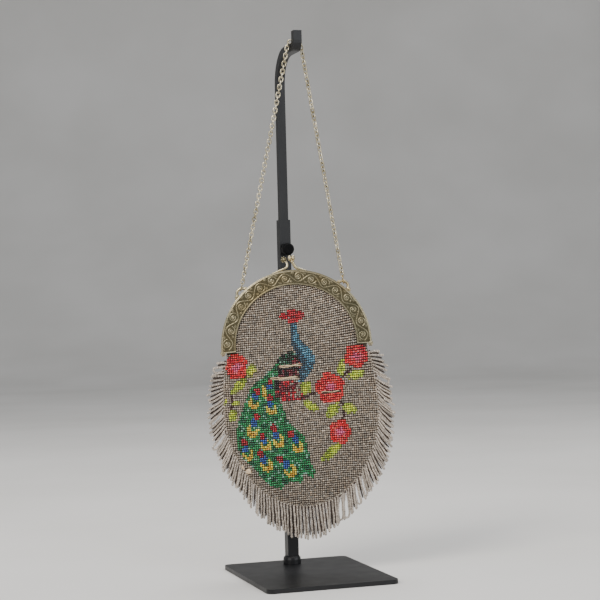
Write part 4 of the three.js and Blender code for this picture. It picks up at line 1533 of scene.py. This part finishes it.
def chain_pieces():
    """The small links, every second one turned a quarter, and the two end links."""
    path = chain_path()
    lengths = path_lengths(path)
    pitch = SMALL_LINK["length"] - 2 * SMALL_LINK["wire"]
    gaps = 2 * int(round(lengths[-1] / pitch / 2))
    forms = []
    for number in range(gaps + 1):
        place = lengths[-1] * number / gaps
        behind, spot, ahead = on_path(path, lengths, place + np.array([-1.2, 0, 1.2]))
        along = unit(ahead - behind)
        front = unit(np.array([0.0, 1.0, 0.0]) - along * along[1])
        twist = np.interp(number / gaps, *CHAIN_TWIST)
        turn = math.radians(twist + 90 * (number % 2)) + rng.normal(0, 0.07)
        flat = math.cos(turn) * front + math.sin(turn) * np.cross(along, front)
        forms.append(link_form(SMALL_LINK, spot, along, flat, 20, 7))
    points, faces = join_forms(forms)
    silver = smooth_silver("chain_metal", rgba(212, 203, 180), rgba(156, 146, 120))
    brass = smooth_silver("chain_metal_brass", rgba(196, 172, 122), rgba(134, 112, 72))
    piece = make_object("chain_links", points, faces, silver)
    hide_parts("chain")
    for side, node, metal in ((-1, "link_left", silver), (1, "link_right", brass)):
        low, top, _ = strand_ends(side)
        upright = top - low
        upright[1] = 0
        upright = unit(upright)
        half = (END_LINK["length"] - END_LINK["wire"]) / 2
        flat = np.cross(np.array([0.0, 1.0, 0.0]), upright)
        points, faces = link_form(END_LINK, low + upright * half, upright, flat, 36, 12)
        piece = make_object("end_" + node, points, faces, metal)
        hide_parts(node)


# Stand
STAND_BEVELS = {"stand_base": 0.6, "stand_collar": 0.3, "stand_tube": 0.6, "stand_rod": 0.8}
SCREW_FACE = 7.75
SCREW_RADIUS = 5.7


def stand_pieces():
    """Paint and soft edges for the stand's CAD nodes."""
    paint = black_paint()
    for name, width in STAND_BEVELS.items():
        bevel = painted_node(name, paint).modifiers.new("soft_edge", "BEVEL")
        bevel.width = width * MM
        bevel.segments = 2
        bevel.limit_method = "ANGLE"
        bevel.angle_limit = math.radians(40)
        bevel.harden_normals = True


def thumb_screw():
    """The screw's shank and its knurled grip, pointing to the front."""
    face, radius = SCREW_FACE, SCREW_RADIUS
    profile = [
        (0.05, 4.15), (2.0, 4.15), (2.0, face - 0.1), (2.4, face), (0.86 * radius, face),
        (0.96 * radius, face + 0.35), (radius, face + 0.8), (radius, face + 6.4),
        (0.97 * radius, face + 7.1), (0.88 * radius, face + 7.7), (0.75 * radius, face + 8.0),
        (0.4 * radius, face + 7.8), (0.05, face + 7.7),
    ]

    def knurls(row, angle):
        on_grip = ((row >= 5) & (row <= 9)).astype(float)
        return -0.055 * on_grip * (0.5 + 0.5 * np.cos(24 * angle)) ** 2

    forward = [[1, 0, 0], [0, 0, -1], [0, 1, 0]]
    points, faces = turned(lathe(profile, 144, ridge=knurls), forward, (0, 0, SCREW_HEIGHT))
    piece = make_object("stand_thumb_screw", stand_to_world(points), faces, knob_plastic(), sharp=35)
    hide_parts("stand_knob")


def pins():
    """Plain metal for the two rivets."""
    metal = smooth_silver("pin_metal", rgba(196, 188, 160), rgba(120, 108, 80))
    for name in ("hinge_pin_left", "hinge_pin_right"):
        painted_node(name, metal)


# Floor, light and camera. Lights and camera are in metres
FLOOR = {"width": 16000, "front": -8000, "bend_start": 3600, "bend": 1800, "top": 6000}
LIGHTS = [
    # name, place, size, power, colour
    ("key", (-1.3, -1.9, 1.7), 1.0, 62, (1.0, 0.97, 0.93)),
    ("fill", (1.7, -1.6, 0.9), 1.4, 22, (0.93, 0.96, 1.0)),
    ("top", (0.2, 0.5, 1.9), 1.2, 26, (1.0, 1.0, 1.0)),
]
LIGHT_AIM = (0.01, -0.03, 0.26)
AIR_COLOUR = (0.86, 0.9, 0.95, 1)
AIR_STRENGTH = 0.5
CAMERA_PLACE = (0.0139, -1.5464, 0.2538)
CAMERA_ROLL = math.radians(1.5)
CAMERA_LENS = 97.8
CAMERA_SENSOR = 36


def studio_floor():
    """A floor that bends up into a wall behind the stand."""
    path = [(FLOOR["front"], 0)]
    for angle in np.linspace(0, 1, 20) * math.pi / 2:
        y = FLOOR["bend_start"] + FLOOR["bend"] * math.sin(angle)
        path.append((y, FLOOR["bend"] * (1 - math.cos(angle))))
    path.append((FLOOR["bend_start"] + FLOOR["bend"], FLOOR["top"]))
    edges = (-FLOOR["width"] / 2, FLOOR["width"] / 2)
    points = np.array([(x, y, z) for x in edges for y, z in path])
    faces = inside_out([grid_faces(2, len(path))])
    floor = make_object("studio_floor", points, faces, floor_paper(), body=None)


def lights():
    """Three soft lamps and a faint sky."""
    for name, place, size, power, tone in LIGHTS:
        lamp = bpy.data.lights.new(name, "AREA")
        lamp.energy = power
        lamp.size = size
        lamp.color = tone
        holder = placed(name, lamp)
        holder.location = place
        aim = Vector(LIGHT_AIM) - holder.location
        holder.rotation_euler = aim.to_track_quat("-Z", "Y").to_euler()
    world = bpy.data.worlds.new("studio_air")
    world.use_nodes = True
    background = world.node_tree.nodes["Background"]
    background.inputs["Color"].default_value = AIR_COLOUR
    background.inputs["Strength"].default_value = AIR_STRENGTH
    bpy.context.scene.world = world


def camera():
    """A long lens square to the front, rolled a little."""
    data = bpy.data.cameras.new("photo_camera")
    data.lens = CAMERA_LENS
    data.sensor_width = CAMERA_SENSOR
    holder = placed("photo_camera", data)
    cos, sin = math.cos(CAMERA_ROLL), math.sin(CAMERA_ROLL)
    x, y, z = CAMERA_PLACE
    holder.matrix_world = Matrix((
        (cos, sin, 0, x),
        (0, 0, -1, y),
        (-sin, cos, 0, z),
        (0, 0, 0, 1),
    ))
    bpy.context.scene.camera = holder


camera()
studio_floor()
lights()
BEAD_MATERIAL = bead_glass("beadwork")
FRINGE_MATERIAL = bead_glass("bead_fringe")
THREAD_MATERIAL = knit_thread()
stand_pieces()
thumb_screw()
pins()
frame_pieces()
chain_pieces()
pouch_thread()
beadwork()
seam_beads()
torn_places()
fringe_heading()
PLAN = fringe_plan()
gap_shade_strands(PLAN)
fringe_loops(PLAN)
